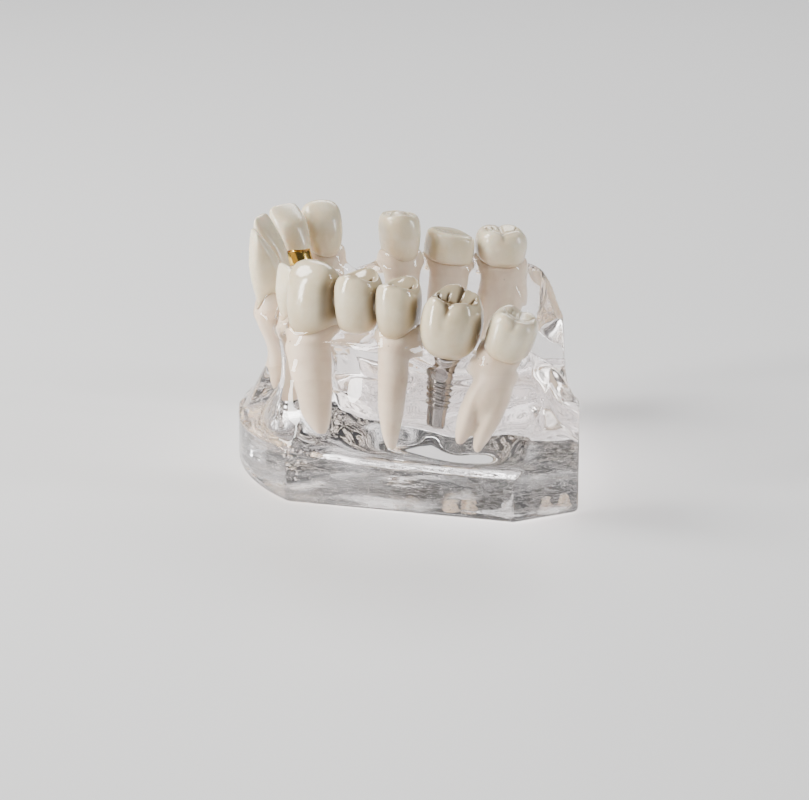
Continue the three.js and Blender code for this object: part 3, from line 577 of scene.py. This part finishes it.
def crown_rings(t, grow, lift, upto):
    """The rings of a crown, from lift above its neck to the share upto of its height."""
    form = FORMS[t["form"]]
    hw, hd = t["width"] / 2, t["depth"] / 2
    height = t["height"] - lift
    rows = smooth_rows(form["rows"], CROWN_SPAN)
    rows = rows[rows[:, 0] <= upto + 1e-6] if upto < 1 else rows
    rings = []
    for k, (h, w, d, shift) in enumerate(rows):
        xy, a = ring(hw * w + grow, hd * d + grow, CROWN_SIDES, form["square"])
        x, y = xy.T
        bump = smoothstep(h, .5, .84) * relief(CUSPS.get(t["name"], form["cusps"]), x / hw, y / hd)
        bump = bump - t["carve"] * smoothstep(h, .62, .82) * fissures(t["form"], x / hw, y / hd)
        if t["form"] in ("molar", "implant"):
            y = y + t["carve"] * hd * np.exp(-((x / hw) / .16) ** 2) * smoothstep(h, .3, .75) * (y < 0)
        back = x * t["side"]
        x = x + t["side"] * (t["reach"][1] * smoothstep(back, 0, hw)
                             - t["reach"][0] * smoothstep(-back, 0, hw))
        neck = form["scallop"] * t["wave"] * np.cos(2 * a) * max(0, 1 - h / .4)
        ends = (grow if k > len(rows) / 2 else 0) - (grow if k == 0 else 0)
        rings.append(np.column_stack([x, y + hd * shift, lift + height * (h + bump) + neck + ends]))
    return np.array(rings)


def neck_size(t):
    _, w, d, _ = FORMS[t["form"]]["rows"][0]
    return t["width"] / 2 * w, t["depth"] / 2 * d


def root_rings(t, rows, centre=0.0, end_centre=0.0):
    """The rings of a root or a leg of one, whose middle runs from centre to end_centre."""
    hw, hd = neck_size(t)
    out = []
    for share, w, d in smooth_rows(rows, ROOT_SPAN):
        bend = share**1.5
        xy, _ = ring(hw * w, hd * d, ROOT_SIDES, 2.1)
        x = xy[:, 0] + t["side"] * t["sweep"][0] * bend + lerp(centre, end_centre, share)
        y = xy[:, 1] + t["sweep"][1] * bend
        out.append(np.column_stack([x, y, np.full(ROOT_SIDES, -SEAT_GAP - t["root"] * share)]))
    return np.array(out)


def root_top(t):
    """The neck line, carried a little up into the crown."""
    form = FORMS[t["form"]]
    hw, hd = neck_size(t)
    out = []
    for inset, up in ((.6, .25), (.25, .2), (.08, 0)):
        xy, a = ring(hw - inset, hd - inset, ROOT_SIDES, form["square"])
        out.append(np.column_stack([xy, form["scallop"] * np.cos(2 * a) - SEAT_GAP + up]))
    return np.array(out)


def root_object(name, t):
    top = root_top(t)
    if not t["legs"]:
        return local_loft(name, t, np.concatenate([top, root_rings(t, ROOT_ROWS)])[::-1])
    hw, _ = neck_size(t)
    trunk = local_loft(name, t, np.concatenate([top, root_rings(t, TRUNK_ROWS)])[::-1])
    legs = [local_loft(f"{name}_leg", t, root_rings(t, LEG_ROWS, way * hw * .5, way * hw * .42)[::-1])
            for way in (-1, 1)]
    return remesh(join(trunk, *legs), ROOT_VOXEL, ROOT_PASSES)


def crown_object(name, t, grow=0.0, lift=0.0, upto=1.0):
    return local_loft(name, t, crown_rings(t, grow, lift, upto))


def stump_rings(t, base, top, grow=0.0):
    """The rings of a prepared stump, from base to top, or of the cavity over it when it grows."""
    hw, hd = neck_size(t)
    rows = [(base, 1), (base + .3, 1), (top - 1.2, STUMP_TAPER * 1.04), (top - .35, STUMP_TAPER * .96),
            (top + grow, STUMP_TAPER * .72)]
    out = []
    for z, share in rows:
        xy, _ = ring((hw - SHOULDER_WIDTH) * share + grow, (hd - SHOULDER_WIDTH) * share + grow,
                     ROOT_SIDES, 2.2)
        out.append(np.column_stack([xy, np.full(ROOT_SIDES, z)]))
    return smooth_rows(np.array(out), 5)


# ---------------------------------------------------------------- the clear jaw

def ridge_body():
    """The untrimmed jaw, one section to each spoke, with the ridge evened out between the spokes."""
    angles = -1.5 * math.pi + 2 * math.pi * np.arange(SPOKES) / SPOKES
    sections = np.array([smooth_rows(jaw_section(a), 5) for a in angles])
    for _ in range(3):
        sections[:, 15:45] = (np.roll(sections, 1, 0) + 2 * sections + np.roll(sections, -1, 0))[:, 15:45] / 4
    rings = np.stack([sections[..., 0] * np.cos(angles)[:, None],
                      CENTRE_Y + sections[..., 0] * np.sin(angles)[:, None], sections[..., 1]], -1)
    rings = rings.transpose(1, 0, 2) + SHIFT
    return loft("ridge", rings)


def rim(t):
    """The lip of acrylic that hugs a crown's neck."""
    form = FORMS[t["form"]]
    hw, hd = neck_size(t)
    rings = []
    for z, grow in ((-4, .3), (-2.5, .75), (-1.2, .95), (-.3, .85), (.35, .55), (.7, .1)):
        xy, a = ring(hw + grow, hd + grow, ROOT_SIDES, form["square"])
        rings.append(np.column_stack([xy, z + .9 * form["scallop"] * np.cos(2 * a)]))
    return local_loft("rim", t, np.array(rings))


def prism(name, rings):
    """A solid between flat outlines at different heights, each [x, y, z]."""
    rings = np.asarray(rings)
    count, sides = rings.shape[:2]
    caps = [tuple(range(sides))[::-1], tuple(range((count - 1) * sides, count * sides))]
    return new_object(name, rings.reshape(-1, 3), caps + walls(count, sides))


def trim_tool():
    """What the trimming leaves: straight sides with a rounded lower edge."""
    levels = [(0, .9), (.12, .45), (.4, .12), (.9, 0), (40, 0)]
    return prism("trim", [np.insert(outline(inset), 2, z, axis=1) + SHIFT for z, inset in levels])


def turned(name, t, profile, sides=64, drop_by=0.0):
    """A solid turned about a tooth's own axis, from [radius, height] points, lowest first."""
    return local_loft(name, t, np.array([round_ring(r, z - drop_by, sides) for r, z in profile]))


base = ridge_body()
base = join(base, *[rim(t) for t in TEETH.values()
                    if t["form"] not in ("missing", "pontic", "implant") and t is not restored])
base = wavy(remesh(base, RIDGE_VOXEL, RIDGE_PASSES), CASTING_WAVE)
base.name = "cast_clear_jaw"
base = flatten(remesh(boolean(base, "INTERSECT", trim_tool()), TRIMMED_VOXEL, TRIMMED_PASSES))
bore = turned("bore", implant, [(1.0, -FIXTURE_LENGTH + .2), (APEX_RADIUS - .1, -FIXTURE_LENGTH + .6),
                                (APEX_RADIUS - .06, -COLLAR_HEIGHT), (COLLAR_RADIUS - .08, -.6),
                                (COLLAR_RADIUS - .05, 6)], drop_by=CROWN_SEAT)
base = boolean(base, "DIFFERENCE", bore)
for t in (canine, pontic, premolar, implant):
    base = boolean(base, "DIFFERENCE", crown_object("dent", t, DENT_EASE, upto=.6))


def bubble(at, radius):
    """A small round void: a ball whose faces point inwards."""
    bm = bmesh.new()
    bmesh.ops.create_icosphere(bm, subdivisions=2, radius=radius * MM)
    bmesh.ops.reverse_faces(bm, faces=bm.faces)
    bmesh.ops.translate(bm, verts=bm.verts, vec=Vector(at) * MM)
    mesh = bpy.data.meshes.new("bubble")
    bm.to_mesh(mesh)
    bm.free()
    obj = bpy.data.objects.new("bubble", mesh)
    bpy.context.scene.collection.objects.link(obj)
    return obj


def bubbles():
    """Air trapped under the crown margins, and in the bulge below the left front teeth."""
    out = []
    for t in TEETH.values():
        if t["form"] in ("missing", "pontic", "implant"):
            continue
        hw, hd = neck_size(t)
        for a in rng.uniform(0, 2 * np.pi, MARGIN_BUBBLES):
            spot = [(hw + .42) * math.cos(a), (hd + .42) * math.sin(a), -1.3 - .9 * rng.random()]
            out.append(bubble(in_jaw(t, np.array([spot]))[0], rng.uniform(.09, .16)))
    for _ in range(DEEP_BUBBLES):
        angle = rng.uniform(-1.25, -.75)
        reach = side_reach(angle) - rng.uniform(2.2, 5)
        spot = [reach * math.cos(angle), CENTRE_Y + reach * math.sin(angle), rng.uniform(3.5, 8)]
        out.append(bubble(np.array(spot) + SHIFT, rng.uniform(.1, .34)))
    return out


base = sharpen(join(base, *bubbles()), 50)
base.data.polygons.foreach_set("use_smooth", [True] * len(base.data.polygons))

# ---------------------------------------------------------------- the teeth

pieces = {}
for t in TEETH.values():
    name = t["name"]
    if not t["root"]:
        continue
    if t in (canine, premolar):
        root = root_object(f"{name}_prepared_root", t)
        stump = local_loft("stump", t, stump_rings(t, -1.2, t["height"] * STUMP_SHARE))
        pieces[f"{name}_abutment_root"] = boolean(root, "UNION", stump)
        continue
    root = root_object(f"{name}_tooth_root", t)
    if t is restored:
        hole = turned("hole", t, [(POST_TIP_RADIUS, -POST_LENGTH), (POST_RADIUS, -SEAT_GAP),
                                  (POST_RADIUS, 2)], 32)
        root = boolean(root, "DIFFERENCE", hole)
    pieces[f"{name}_root"] = root
    if t is not restored:
        pieces[f"{name}_crown"] = crown_object(f"{name}_tooth_crown", t)

# The bridge: two hollow retainers with a pontic between them
retainers = []
for t in (canine, premolar):
    cavity = local_loft("cavity", t, stump_rings(t, -2.5, t["height"] * STUMP_SHARE, CAVITY_GAP))
    retainers.append(boolean(crown_object("retainer", t), "DIFFERENCE", cavity))


def connector(a, b):
    """The ball of porcelain that joins two crowns of the bridge."""
    start, end = (in_jaw(t, np.array([[0, 0, t["height"] * .5]]))[0] for t in (a, b))
    run = end - start
    share = (a["width"] / 2 + CONTACT_GAP / 2) / np.linalg.norm(run)
    yaw = math.atan2(run[1], run[0])
    u, v = np.meshgrid(np.linspace(0, 2 * np.pi, 49)[:-1], np.linspace(-1.5, 1.5, 25))
    ball = np.stack([np.cos(v) * np.cos(u) * (a["width"] + b["width"]) / 8,
                     np.cos(v) * np.sin(u) * CONNECTOR_DEPTH / 2, np.sin(v) * CONNECTOR_HEIGHT / 2], -1)
    c, s = math.cos(yaw), math.sin(yaw)
    return loft("connector", ball @ np.array([[c, s, 0], [-s, c, 0], [0, 0, 1]]) + start + run * share)


bridge = boolean(retainers[0], "UNION", crown_object("pontic", pontic), retainers[1],
                 connector(canine, pontic), connector(pontic, premolar))
bridge.name = "porcelain_bridge"
pieces["three_unit_bridge"] = bridge


# The implant: a fixture with a true helical thread, an abutment, its screw, and the crown
def fixture():
    rings = []
    thread_end = -(FIXTURE_LENGTH - APEX_LENGTH)
    threaded = FIXTURE_LENGTH - APEX_LENGTH - COLLAR_HEIGHT
    pitch = (thread_end + COLLAR_HEIGHT) / -THREAD_COUNT
    for z in np.concatenate([np.linspace(-FIXTURE_LENGTH + .7, thread_end, 12),
                             np.linspace(thread_end, -COLLAR_HEIGHT, 180)[1:]]):
        phase = (z / pitch + turns(FIXTURE_SIDES) / (2 * np.pi)) % 1
        ridge = smoothstep(phase, .08, .34) * (1 - smoothstep(phase, .56, .86))
        fade = (smoothstep(z, thread_end - .1, thread_end + .5)
                * (1 - smoothstep(z, -COLLAR_HEIGHT - .5, -COLLAR_HEIGHT)))
        crest = FIXTURE_RADIUS - FIXTURE_TAPER * (-COLLAR_HEIGHT - z) / threaded
        body = lerp(APEX_RADIUS, crest - THREAD_DEPTH, smoothstep(z, thread_end - .05, thread_end + .3))
        rings.append(round_ring(body + THREAD_DEPTH * ridge * fade, z, FIXTURE_SIDES))
    low = [round_ring(APEX_RADIUS * s, z - FIXTURE_LENGTH, FIXTURE_SIDES)
           for s, z in ((.5, 0), (.72, .06), (.88, .2), (.97, .42))]
    flare = [round_ring(lerp(FIXTURE_RADIUS - THREAD_DEPTH, COLLAR_RADIUS, s), z, FIXTURE_SIDES)
             for s, z in ((.05, -1.72), (.35, -1.5), (.7, -1.1), (.93, -.7), (1, -.35), (1, -.08), (.96, 0))]
    rings = np.array(low + rings + flare)
    rings[..., 2] -= CROWN_SEAT
    obj = local_loft("titanium_fixture", implant, rings)
    well = turned("well", implant, [(.3, -WELL_DEPTH - .4), (WELL_RADIUS, -WELL_DEPTH), (WELL_RADIUS, 1)],
                  48, CROWN_SEAT)
    vent_turn = implant["basis"] @ turn_matrix(1, 90)
    vent_at = in_jaw(implant, np.array([[0, 0, 1.4 - FIXTURE_LENGTH - CROWN_SEAT]]))
    vent = [round_ring(VENT_RADIUS, z, 32) @ vent_turn.T + vent_at for z in (-2.5, 2.5)]
    return boolean(obj, "DIFFERENCE", well, loft("vent", vent))


pieces["implant_fixture"] = fixture()
flange = COLLAR_RADIUS - .1
abutment = turned("titanium_abutment", implant, smooth_rows(
    [(WELL_RADIUS, SEAT_GAP), (flange, SEAT_GAP), (flange + .06, SEAT_GAP + .05),
     (ABUTMENT_FLANGE, CROWN_SEAT - .25), (ABUTMENT_FLANGE, CROWN_SEAT - .05),
     (ABUTMENT_FLANGE - .05, CROWN_SEAT), (ABUTMENT_RADIUS + .05, CROWN_SEAT),
     (ABUTMENT_RADIUS, CROWN_SEAT + .1), (ABUTMENT_RADIUS * .85, ABUTMENT_HEIGHT - .12),
     (ABUTMENT_RADIUS * .8, ABUTMENT_HEIGHT), (.6, ABUTMENT_HEIGHT)], 3, .12), 72, CROWN_SEAT)
channel = turned("channel", implant, [(WELL_RADIUS - .02, -1), (WELL_RADIUS - .02, SCREW_SEAT),
                                      (SCREW_HEAD_RADIUS + SEAT_GAP, SCREW_SEAT + .01),
                                      (SCREW_HEAD_RADIUS + SEAT_GAP, 8)], 48, CROWN_SEAT)
flats = []
for k in range(3):
    a = math.radians(120 * k + 30)
    u, v = np.array([math.cos(a), math.sin(a)]), np.array([-math.sin(a), math.cos(a)])
    box = np.array([u * 1.62 - v * 1.2, u * 2.6 - v * 1.2, u * 2.6 + v * 1.2, u * 1.62 + v * 1.2])
    flats.append(loft("flat", [in_jaw(implant, np.column_stack([box, np.full(4, z - CROWN_SEAT)]))
                               for z in (3.4, 7)]))
pieces["implant_abutment"] = boolean(abutment, "DIFFERENCE", channel, *flats)
screw_top = SCREW_SEAT + SEAT_GAP + 1.8
screw_profile = [(.3, -WELL_DEPTH + .5)]
for z in np.linspace(-WELL_DEPTH + .9, -1.2, 90):
    thread = np.cos(2 * np.pi * (z / .5 + turns(SCREW_SIDES) / (2 * np.pi)))
    screw_profile.append((SCREW_RADIUS - .07 + .07 * thread, z))
screw_profile += [(SCREW_RADIUS - .07, -1.1), (SCREW_RADIUS - .07, SCREW_SEAT + SEAT_GAP - .02),
                  (SCREW_HEAD_RADIUS - .05, SCREW_SEAT + SEAT_GAP),
                  (SCREW_HEAD_RADIUS, SCREW_SEAT + SEAT_GAP + .06),
                  (SCREW_HEAD_RADIUS, screw_top - .12), (SCREW_HEAD_RADIUS - .1, screw_top)]
screw = turned("titanium_screw", implant, screw_profile, SCREW_SIDES, CROWN_SEAT)
socket_tool = turned("socket", implant, [(.52, screw_top - .9), (.52, screw_top + 1)], 6, CROWN_SEAT)
pieces["abutment_screw"] = boolean(screw, "DIFFERENCE", socket_tool)
crown_cavity = turned("cavity", implant, [
    (ABUTMENT_RADIUS + SEAT_GAP, -2), (ABUTMENT_RADIUS + SEAT_GAP, CROWN_SEAT + SEAT_GAP),
    (ABUTMENT_RADIUS * .84 + SEAT_GAP, ABUTMENT_HEIGHT + SEAT_GAP)], 64, CROWN_SEAT)
pieces["implant_crown"] = boolean(crown_object("porcelain_implant_crown", implant, 0, SEAT_GAP),
                                  "DIFFERENCE", crown_cavity)

# The gold post and core, with its crown standing clear of the collar
hw, hd = neck_size(restored)
core_rings = []
scallop = FORMS["incisor"]["scallop"]
core_top = CORE_COLLAR + scallop * RAISED_WAVE
for z, share in ((.02, .9), (.08, .96), (.3, .98), (1.2, .98), (core_top - .3, .98), (core_top - .08, .95),
                 (core_top, .86)):
    xy, a = ring(hw * share, hd * share, ROOT_SIDES, FORMS["incisor"]["square"])
    core_rings.append(np.column_stack([xy, z + scallop * lerp(1, RAISED_WAVE, z / core_top) * np.cos(2 * a)]))
gold = local_loft("gold_core", restored, np.array(core_rings))
post = turned("post", restored, [(POST_TIP_RADIUS * .5, -POST_LENGTH), (POST_TIP_RADIUS, -POST_LENGTH + .3),
                                 (POST_RADIUS, -SEAT_GAP), (POST_RADIUS, 1.2)], 40)
stump = local_loft("core", restored, stump_rings(restored, CORE_COLLAR - .5, CORE_HEIGHT))
gold = boolean(gold, "UNION", post, stump)
sharpen(gold, 40)
gold.name = "gold_core_and_post"
pieces["gold_post_and_core"] = gold
raised = crown_object("restored_incisor_crown", restored, 0, core_top + SEAT_GAP)
cavity = local_loft("cavity", restored, stump_rings(restored, CORE_COLLAR - 2, CORE_HEIGHT, CAVITY_GAP))
pieces["right_lateral_incisor_crown"] = boolean(raised, "DIFFERENCE", cavity)
pieces["clear_jaw_base"] = base


def paint(obj, teeth):
    """Marks each point with how near the neck it is, and with painted shade: darker in the fissures, where
    neighbouring crowns meet and in the chewing basin.
    """
    points = read_points(obj) / MM - SHIFT
    count = len(points)
    best, neck, painted_shade = np.full(count, 1e9), np.zeros(count), np.zeros(count)
    for t in teeth:
        local = (points - t["origin"]) @ t["basis"]
        x, y, h = (local / [t["width"] / 2, t["depth"] / 2, t["height"]]).T
        near = np.hypot(x, y)
        pick = near < best
        best = np.where(pick, near, best)
        top = smoothstep(h, .6, .8) * smoothstep(1.05 - near, 0, .2)
        # Painted shade in the fissures of the chewing surface.
        painted_fissure_shade = fissures(t["form"], x, y) * top
        # Painted shade and dark reflection where the crown meets its neighbour.
        painted_contact_shade = smoothstep(np.abs(x), .72, 1.02) * smoothstep(h, .0, .3) * (1 - smoothstep(h, .62, .95))
        neck = np.where(pick, np.exp(-np.clip(h, 0, 2) / .22), neck)
        # Painted shade and dark reflection in the basin of the chewing surface.
        painted_basin_shade = smoothstep(.86 - near, 0, .12) * smoothstep(h, .7, .76)
        painted_basin_shade = painted_basin_shade * (t["form"] not in ("incisor", "canine"))
        painted_shade = np.where(pick, np.clip(painted_fissure_shade**1.4 + .8 * painted_contact_shade + .5 * painted_basin_shade, 0, 1), painted_shade)
    for name, values in (("neck", neck), ("painted_shade", painted_shade)):
        layer = obj.data.attributes.new(name, "FLOAT", "POINT")
        layer.data.foreach_set("value", values)


# ---------------------------------------------------------------- materials

class Nodes:
    """A small helper for building one material's node tree."""

    def __init__(self, name):
        self.material = bpy.data.materials.new(name)
        self.material.use_nodes = True
        self.tree = self.material.node_tree
        self.bsdf = self.tree.nodes["Principled BSDF"]
        self.out = self.tree.nodes["Material Output"]
        self.coords = self.tree.nodes.new("ShaderNodeTexCoord").outputs["Object"]

    def add(self, kind, inputs=None, **settings):
        node = self.tree.nodes.new(f"ShaderNode{kind}")
        for key, value in settings.items():
            setattr(node, key, value)
        for key, value in (inputs or {}).items():
            self.set(node.inputs[key], value)
        return node

    def set(self, socket, value):
        if isinstance(value, bpy.types.NodeSocket):
            self.tree.links.new(value, socket)
        else:
            socket.default_value = value

    def shader(self, **values):
        for key, value in values.items():
            self.set(self.bsdf.inputs[key.replace("_", " ")], value)

    def noise(self, scale, detail, rough=.5, **more):
        return self.add("TexNoise", {"Vector": self.coords, "Scale": scale, "Detail": detail,
                                     "Roughness": rough, **more})

    def ramp(self, factor, *stops):
        node = self.add("ValToRGB", {"Fac": factor})
        elements = node.color_ramp.elements
        while len(elements) < len(stops):
            elements.new(.5)
        for element, (at, color) in zip(elements, stops):
            element.position = at
            element.color = (*color, 1) if isinstance(color, tuple) else (color, color, color, 1)
        return node.outputs["Color"]

    def mix(self, factor, a, b):
        node = self.add("Mix", data_type="RGBA")
        for socket, value in ((node.inputs[0], factor), (node.inputs[6], a), (node.inputs[7], b)):
            self.set(socket, (*value, 1) if isinstance(value, tuple) and len(value) == 3 else value)
        return node.outputs[2]

    def math(self, operation, a, b):
        node = self.add("Math", operation=operation)
        self.set(node.inputs[0], a)
        self.set(node.inputs[1], b)
        return node.outputs[0]

    def mark(self, name):
        return self.add("Attribute", attribute_name=name).outputs["Fac"]

    def bump(self, height, strength, distance, onto=None):
        node = self.add("Bump", {"Height": height, "Strength": strength, "Distance": distance})
        if onto is not None:
            self.set(node.inputs["Normal"], onto)
        return node.outputs["Normal"]


UNDERSIDE = .00005      # metres: lower than this is the trimmed underside
# The first colour is painted shade, laid into fissures, between the crowns and in the chewing basins; the
# second is the colour of tiny pits in the resin.
PAINTED_SHADE_COLOR, PIT_COLOR = (.17, .115, .06), (.45, .33, .2)


def acrylic():
    """Clear resin, with a hair-scratched and cloudy underside; it lets tinted light through as shadow."""
    n = Nodes("clear_cast_acrylic")
    waves = n.bump(n.noise(130, 2).outputs["Fac"], .1, .0006)
    height = n.add("SeparateXYZ", {0: n.coords}).outputs["Z"]
    under = n.math("LESS_THAN", height, UNDERSIDE)
    hairs = n.ramp(n.noise(420, 6, .62, Distortion=1.4).outputs["Fac"], (.478, 0.0), (.5, 1.0), (.522, 0.0))
    cloud = n.ramp(n.noise(70, 4).outputs["Fac"], (.44, 0.0), (.66, 1.0))
    worn = n.math("MULTIPLY", under, cloud)
    scratched = n.bump(n.math("MULTIPLY", hairs, under), .7, .0003, waves)
    n.shader(Base_Color=(.985, .962, .966, 1), Transmission_Weight=1.0, IOR=1.49, Normal=scratched,
             Roughness=n.math("MULTIPLY", worn, .3))
    clear = n.add("BsdfTransparent", {"Color": (.93, .90, .90, 1)})
    ray = n.add("LightPath").outputs["Is Shadow Ray"]
    both = n.add("MixShader", {"Fac": ray, 1: n.bsdf.outputs[0], 2: clear.outputs[0]})
    n.set(n.out.inputs["Surface"], both.outputs[0])
    return n.material


def resin(name, pale, warm, deep, rough=.24, subsurface=.25, painted_shade=0.0):
    n = Nodes(name)
    cloud = n.noise(320, 4, .55).outputs["Fac"]
    tone = n.mix(n.ramp(cloud, (.35, 0.0), (.68, 1.0)), pale, warm)
    low = n.ramp(n.mark("neck"), (0.0, 0.0), (1.0, 1.0))
    tone = n.mix(n.math("MULTIPLY", low, .55), tone, deep)
    specks = n.add("TexVoronoi", {"Vector": n.coords, "Scale": 900.0}).outputs["Distance"]
    pits = n.ramp(specks, (.0, 1.0), (.09, 0.0))
    tone = n.mix(n.math("MULTIPLY", pits, .25), tone, PIT_COLOR)
    # Painted shade: the fissures, contacts and chewing basins darkened towards a brown.
    if painted_shade:
        brown = n.math("MULTIPLY", n.mark("painted_shade"), painted_shade)
        tone = n.mix(brown, tone, PAINTED_SHADE_COLOR)
    fine = n.noise(2600, 2).outputs["Fac"]
    normal = n.bump(fine, .08, .00006)
    normal = n.bump(n.noise(450, 3).outputs["Fac"], .22, .0003, normal)
    n.shader(Base_Color=tone, Roughness=n.mix(cloud, (rough - .05,) * 3, (rough + .1,) * 3), Normal=normal,
             Subsurface_Weight=subsurface, Subsurface_Radius=(1.0, .55, .3), Subsurface_Scale=.0012,
             Coat_Weight=.35, Coat_Roughness=.08, IOR=1.5)
    return n.material


def metal(name, color, rough, grain, strength):
    n = Nodes(name)
    cloud = n.noise(grain, 4).outputs["Fac"]
    dark = tuple(c * .72 for c in color)
    n.shader(Base_Color=n.mix(cloud, dark, color), Metallic=1.0,
             Roughness=n.mix(cloud, (rough * .7,) * 3, (rough * 1.5,) * 3),
             Normal=n.bump(n.noise(grain * 2.2, 3).outputs["Fac"], strength, .0001))
    return n.material


slots = {
    "clear_acrylic": acrylic(),
    # The enamel and the porcelain carry painted shade in their fissures, contacts and basins, the porcelain
    # the darker.
    "tooth_enamel": resin("ivory_tooth_resin", (.89, .80, .62), (.81, .69, .47), (.66, .50, .28),
                          painted_shade=.45),
    "tooth_root": resin("root_resin", (.73, .61, .46), (.66, .53, .39), (.60, .46, .32),
                        rough=.42, subsurface=.15),
    "porcelain": resin("glazed_porcelain", (.74, .65, .47), (.66, .55, .36), (.38, .25, .10),
                       rough=.1, painted_shade=1.0),
    "implant_metal": metal("polished_titanium", (.34, .315, .30), .1, 900, .1),
    "dental_gold": metal("cast_gold", (.93, .62, .17), .16, 420, .2),
}

record = frame["record"]
body_of = {node: body for body, nodes in record["behaviour"]["bodies"].items() for node in nodes}
slot_of = {part["node"]: part["material_slot"] for part in record["subparts"]}
for node, piece in pieces.items():
    if slot_of[node] in ("tooth_enamel", "porcelain"):
        paint(piece, [canine, pontic, premolar] if node == "three_unit_bridge" else
              [implant if node == "implant_crown" else TEETH[node.removesuffix("_crown")]])
    piece.data.materials.clear()
    piece.data.materials.append(slots[slot_of[node]])
    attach(piece, body_of[node])
    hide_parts(node)

# ---------------------------------------------------------------- floor, light and camera

LIGHT_AIM = Vector((0, 0, .02))
# Each light is (name, place, size, power, colour), in metres and watts.
LIGHTS = [
    ("key", (-.06, -.42, .42), (.26, .26), 5.4, (1, .98, .95)),
    ("left_strip", (.20, -.52, .16), (.11, .34), 4.4, (1, .99, .97)),
    ("right_strip", (.14, .54, .22), (.06, .30), 1.7, (.96, .98, 1)),
    ("back", (-.45, .10, .40), (.5, .2), 2.4, (1, 1, 1)),
]
WORLD_COLOR, WORLD_STRENGTH = (.86, .88, .92, 1), .095
FLOOR_Z, FLOOR_REACH = -.06, 4000
ELEVATION, DISTANCE, TARGET = 17.5, .56, Vector((0, 0, .0092))
FOCAL_PIXELS, PICTURE_WIDTH, SENSOR_WIDTH = 3462, 809, 36


def area_light(name, at, size, power, color):
    light = bpy.data.lights.new(name, "AREA")
    light.shape, light.size, light.size_y = "RECTANGLE", size[0], size[1]
    light.energy, light.color = power, color
    obj = bpy.data.objects.new(name, light)
    bpy.context.scene.collection.objects.link(obj)
    obj.location = at
    obj.rotation_euler = (LIGHT_AIM - Vector(at)).to_track_quat("-Z", "Y").to_euler()


floor_corners = np.array([[-1, -1], [1, -1], [1, 1], [-1, 1]]) * FLOOR_REACH
floor = new_object("floor", np.column_stack([floor_corners, [FLOOR_Z] * 4]), [(0, 1, 2, 3)], False)
n = Nodes("pale_floor")
grey = n.noise(6, 4).outputs["Fac"]
n.shader(Base_Color=n.mix(grey, (.74, .74, .745), (.77, .77, .775)), Roughness=.42)
floor.data.materials.append(n.material)

world = bpy.data.worlds.new("studio")
world.use_nodes = True
background = world.node_tree.nodes["Background"]
background.inputs["Color"].default_value = WORLD_COLOR
background.inputs["Strength"].default_value = WORLD_STRENGTH
bpy.context.scene.world = world
for light in LIGHTS:
    area_light(*light)

camera_data = bpy.data.cameras.new("camera")
camera_data.sensor_width = SENSOR_WIDTH
camera_data.lens = FOCAL_PIXELS * SENSOR_WIDTH / PICTURE_WIDTH
camera = bpy.data.objects.new("camera", camera_data)
bpy.context.scene.collection.objects.link(camera)
tilt = math.radians(ELEVATION)
camera.location = TARGET + Vector((math.cos(tilt), 0, math.sin(tilt))) * DISTANCE
camera.rotation_euler = (TARGET - camera.location).to_track_quat("-Z", "Y").to_euler()
bpy.context.scene.camera = camera
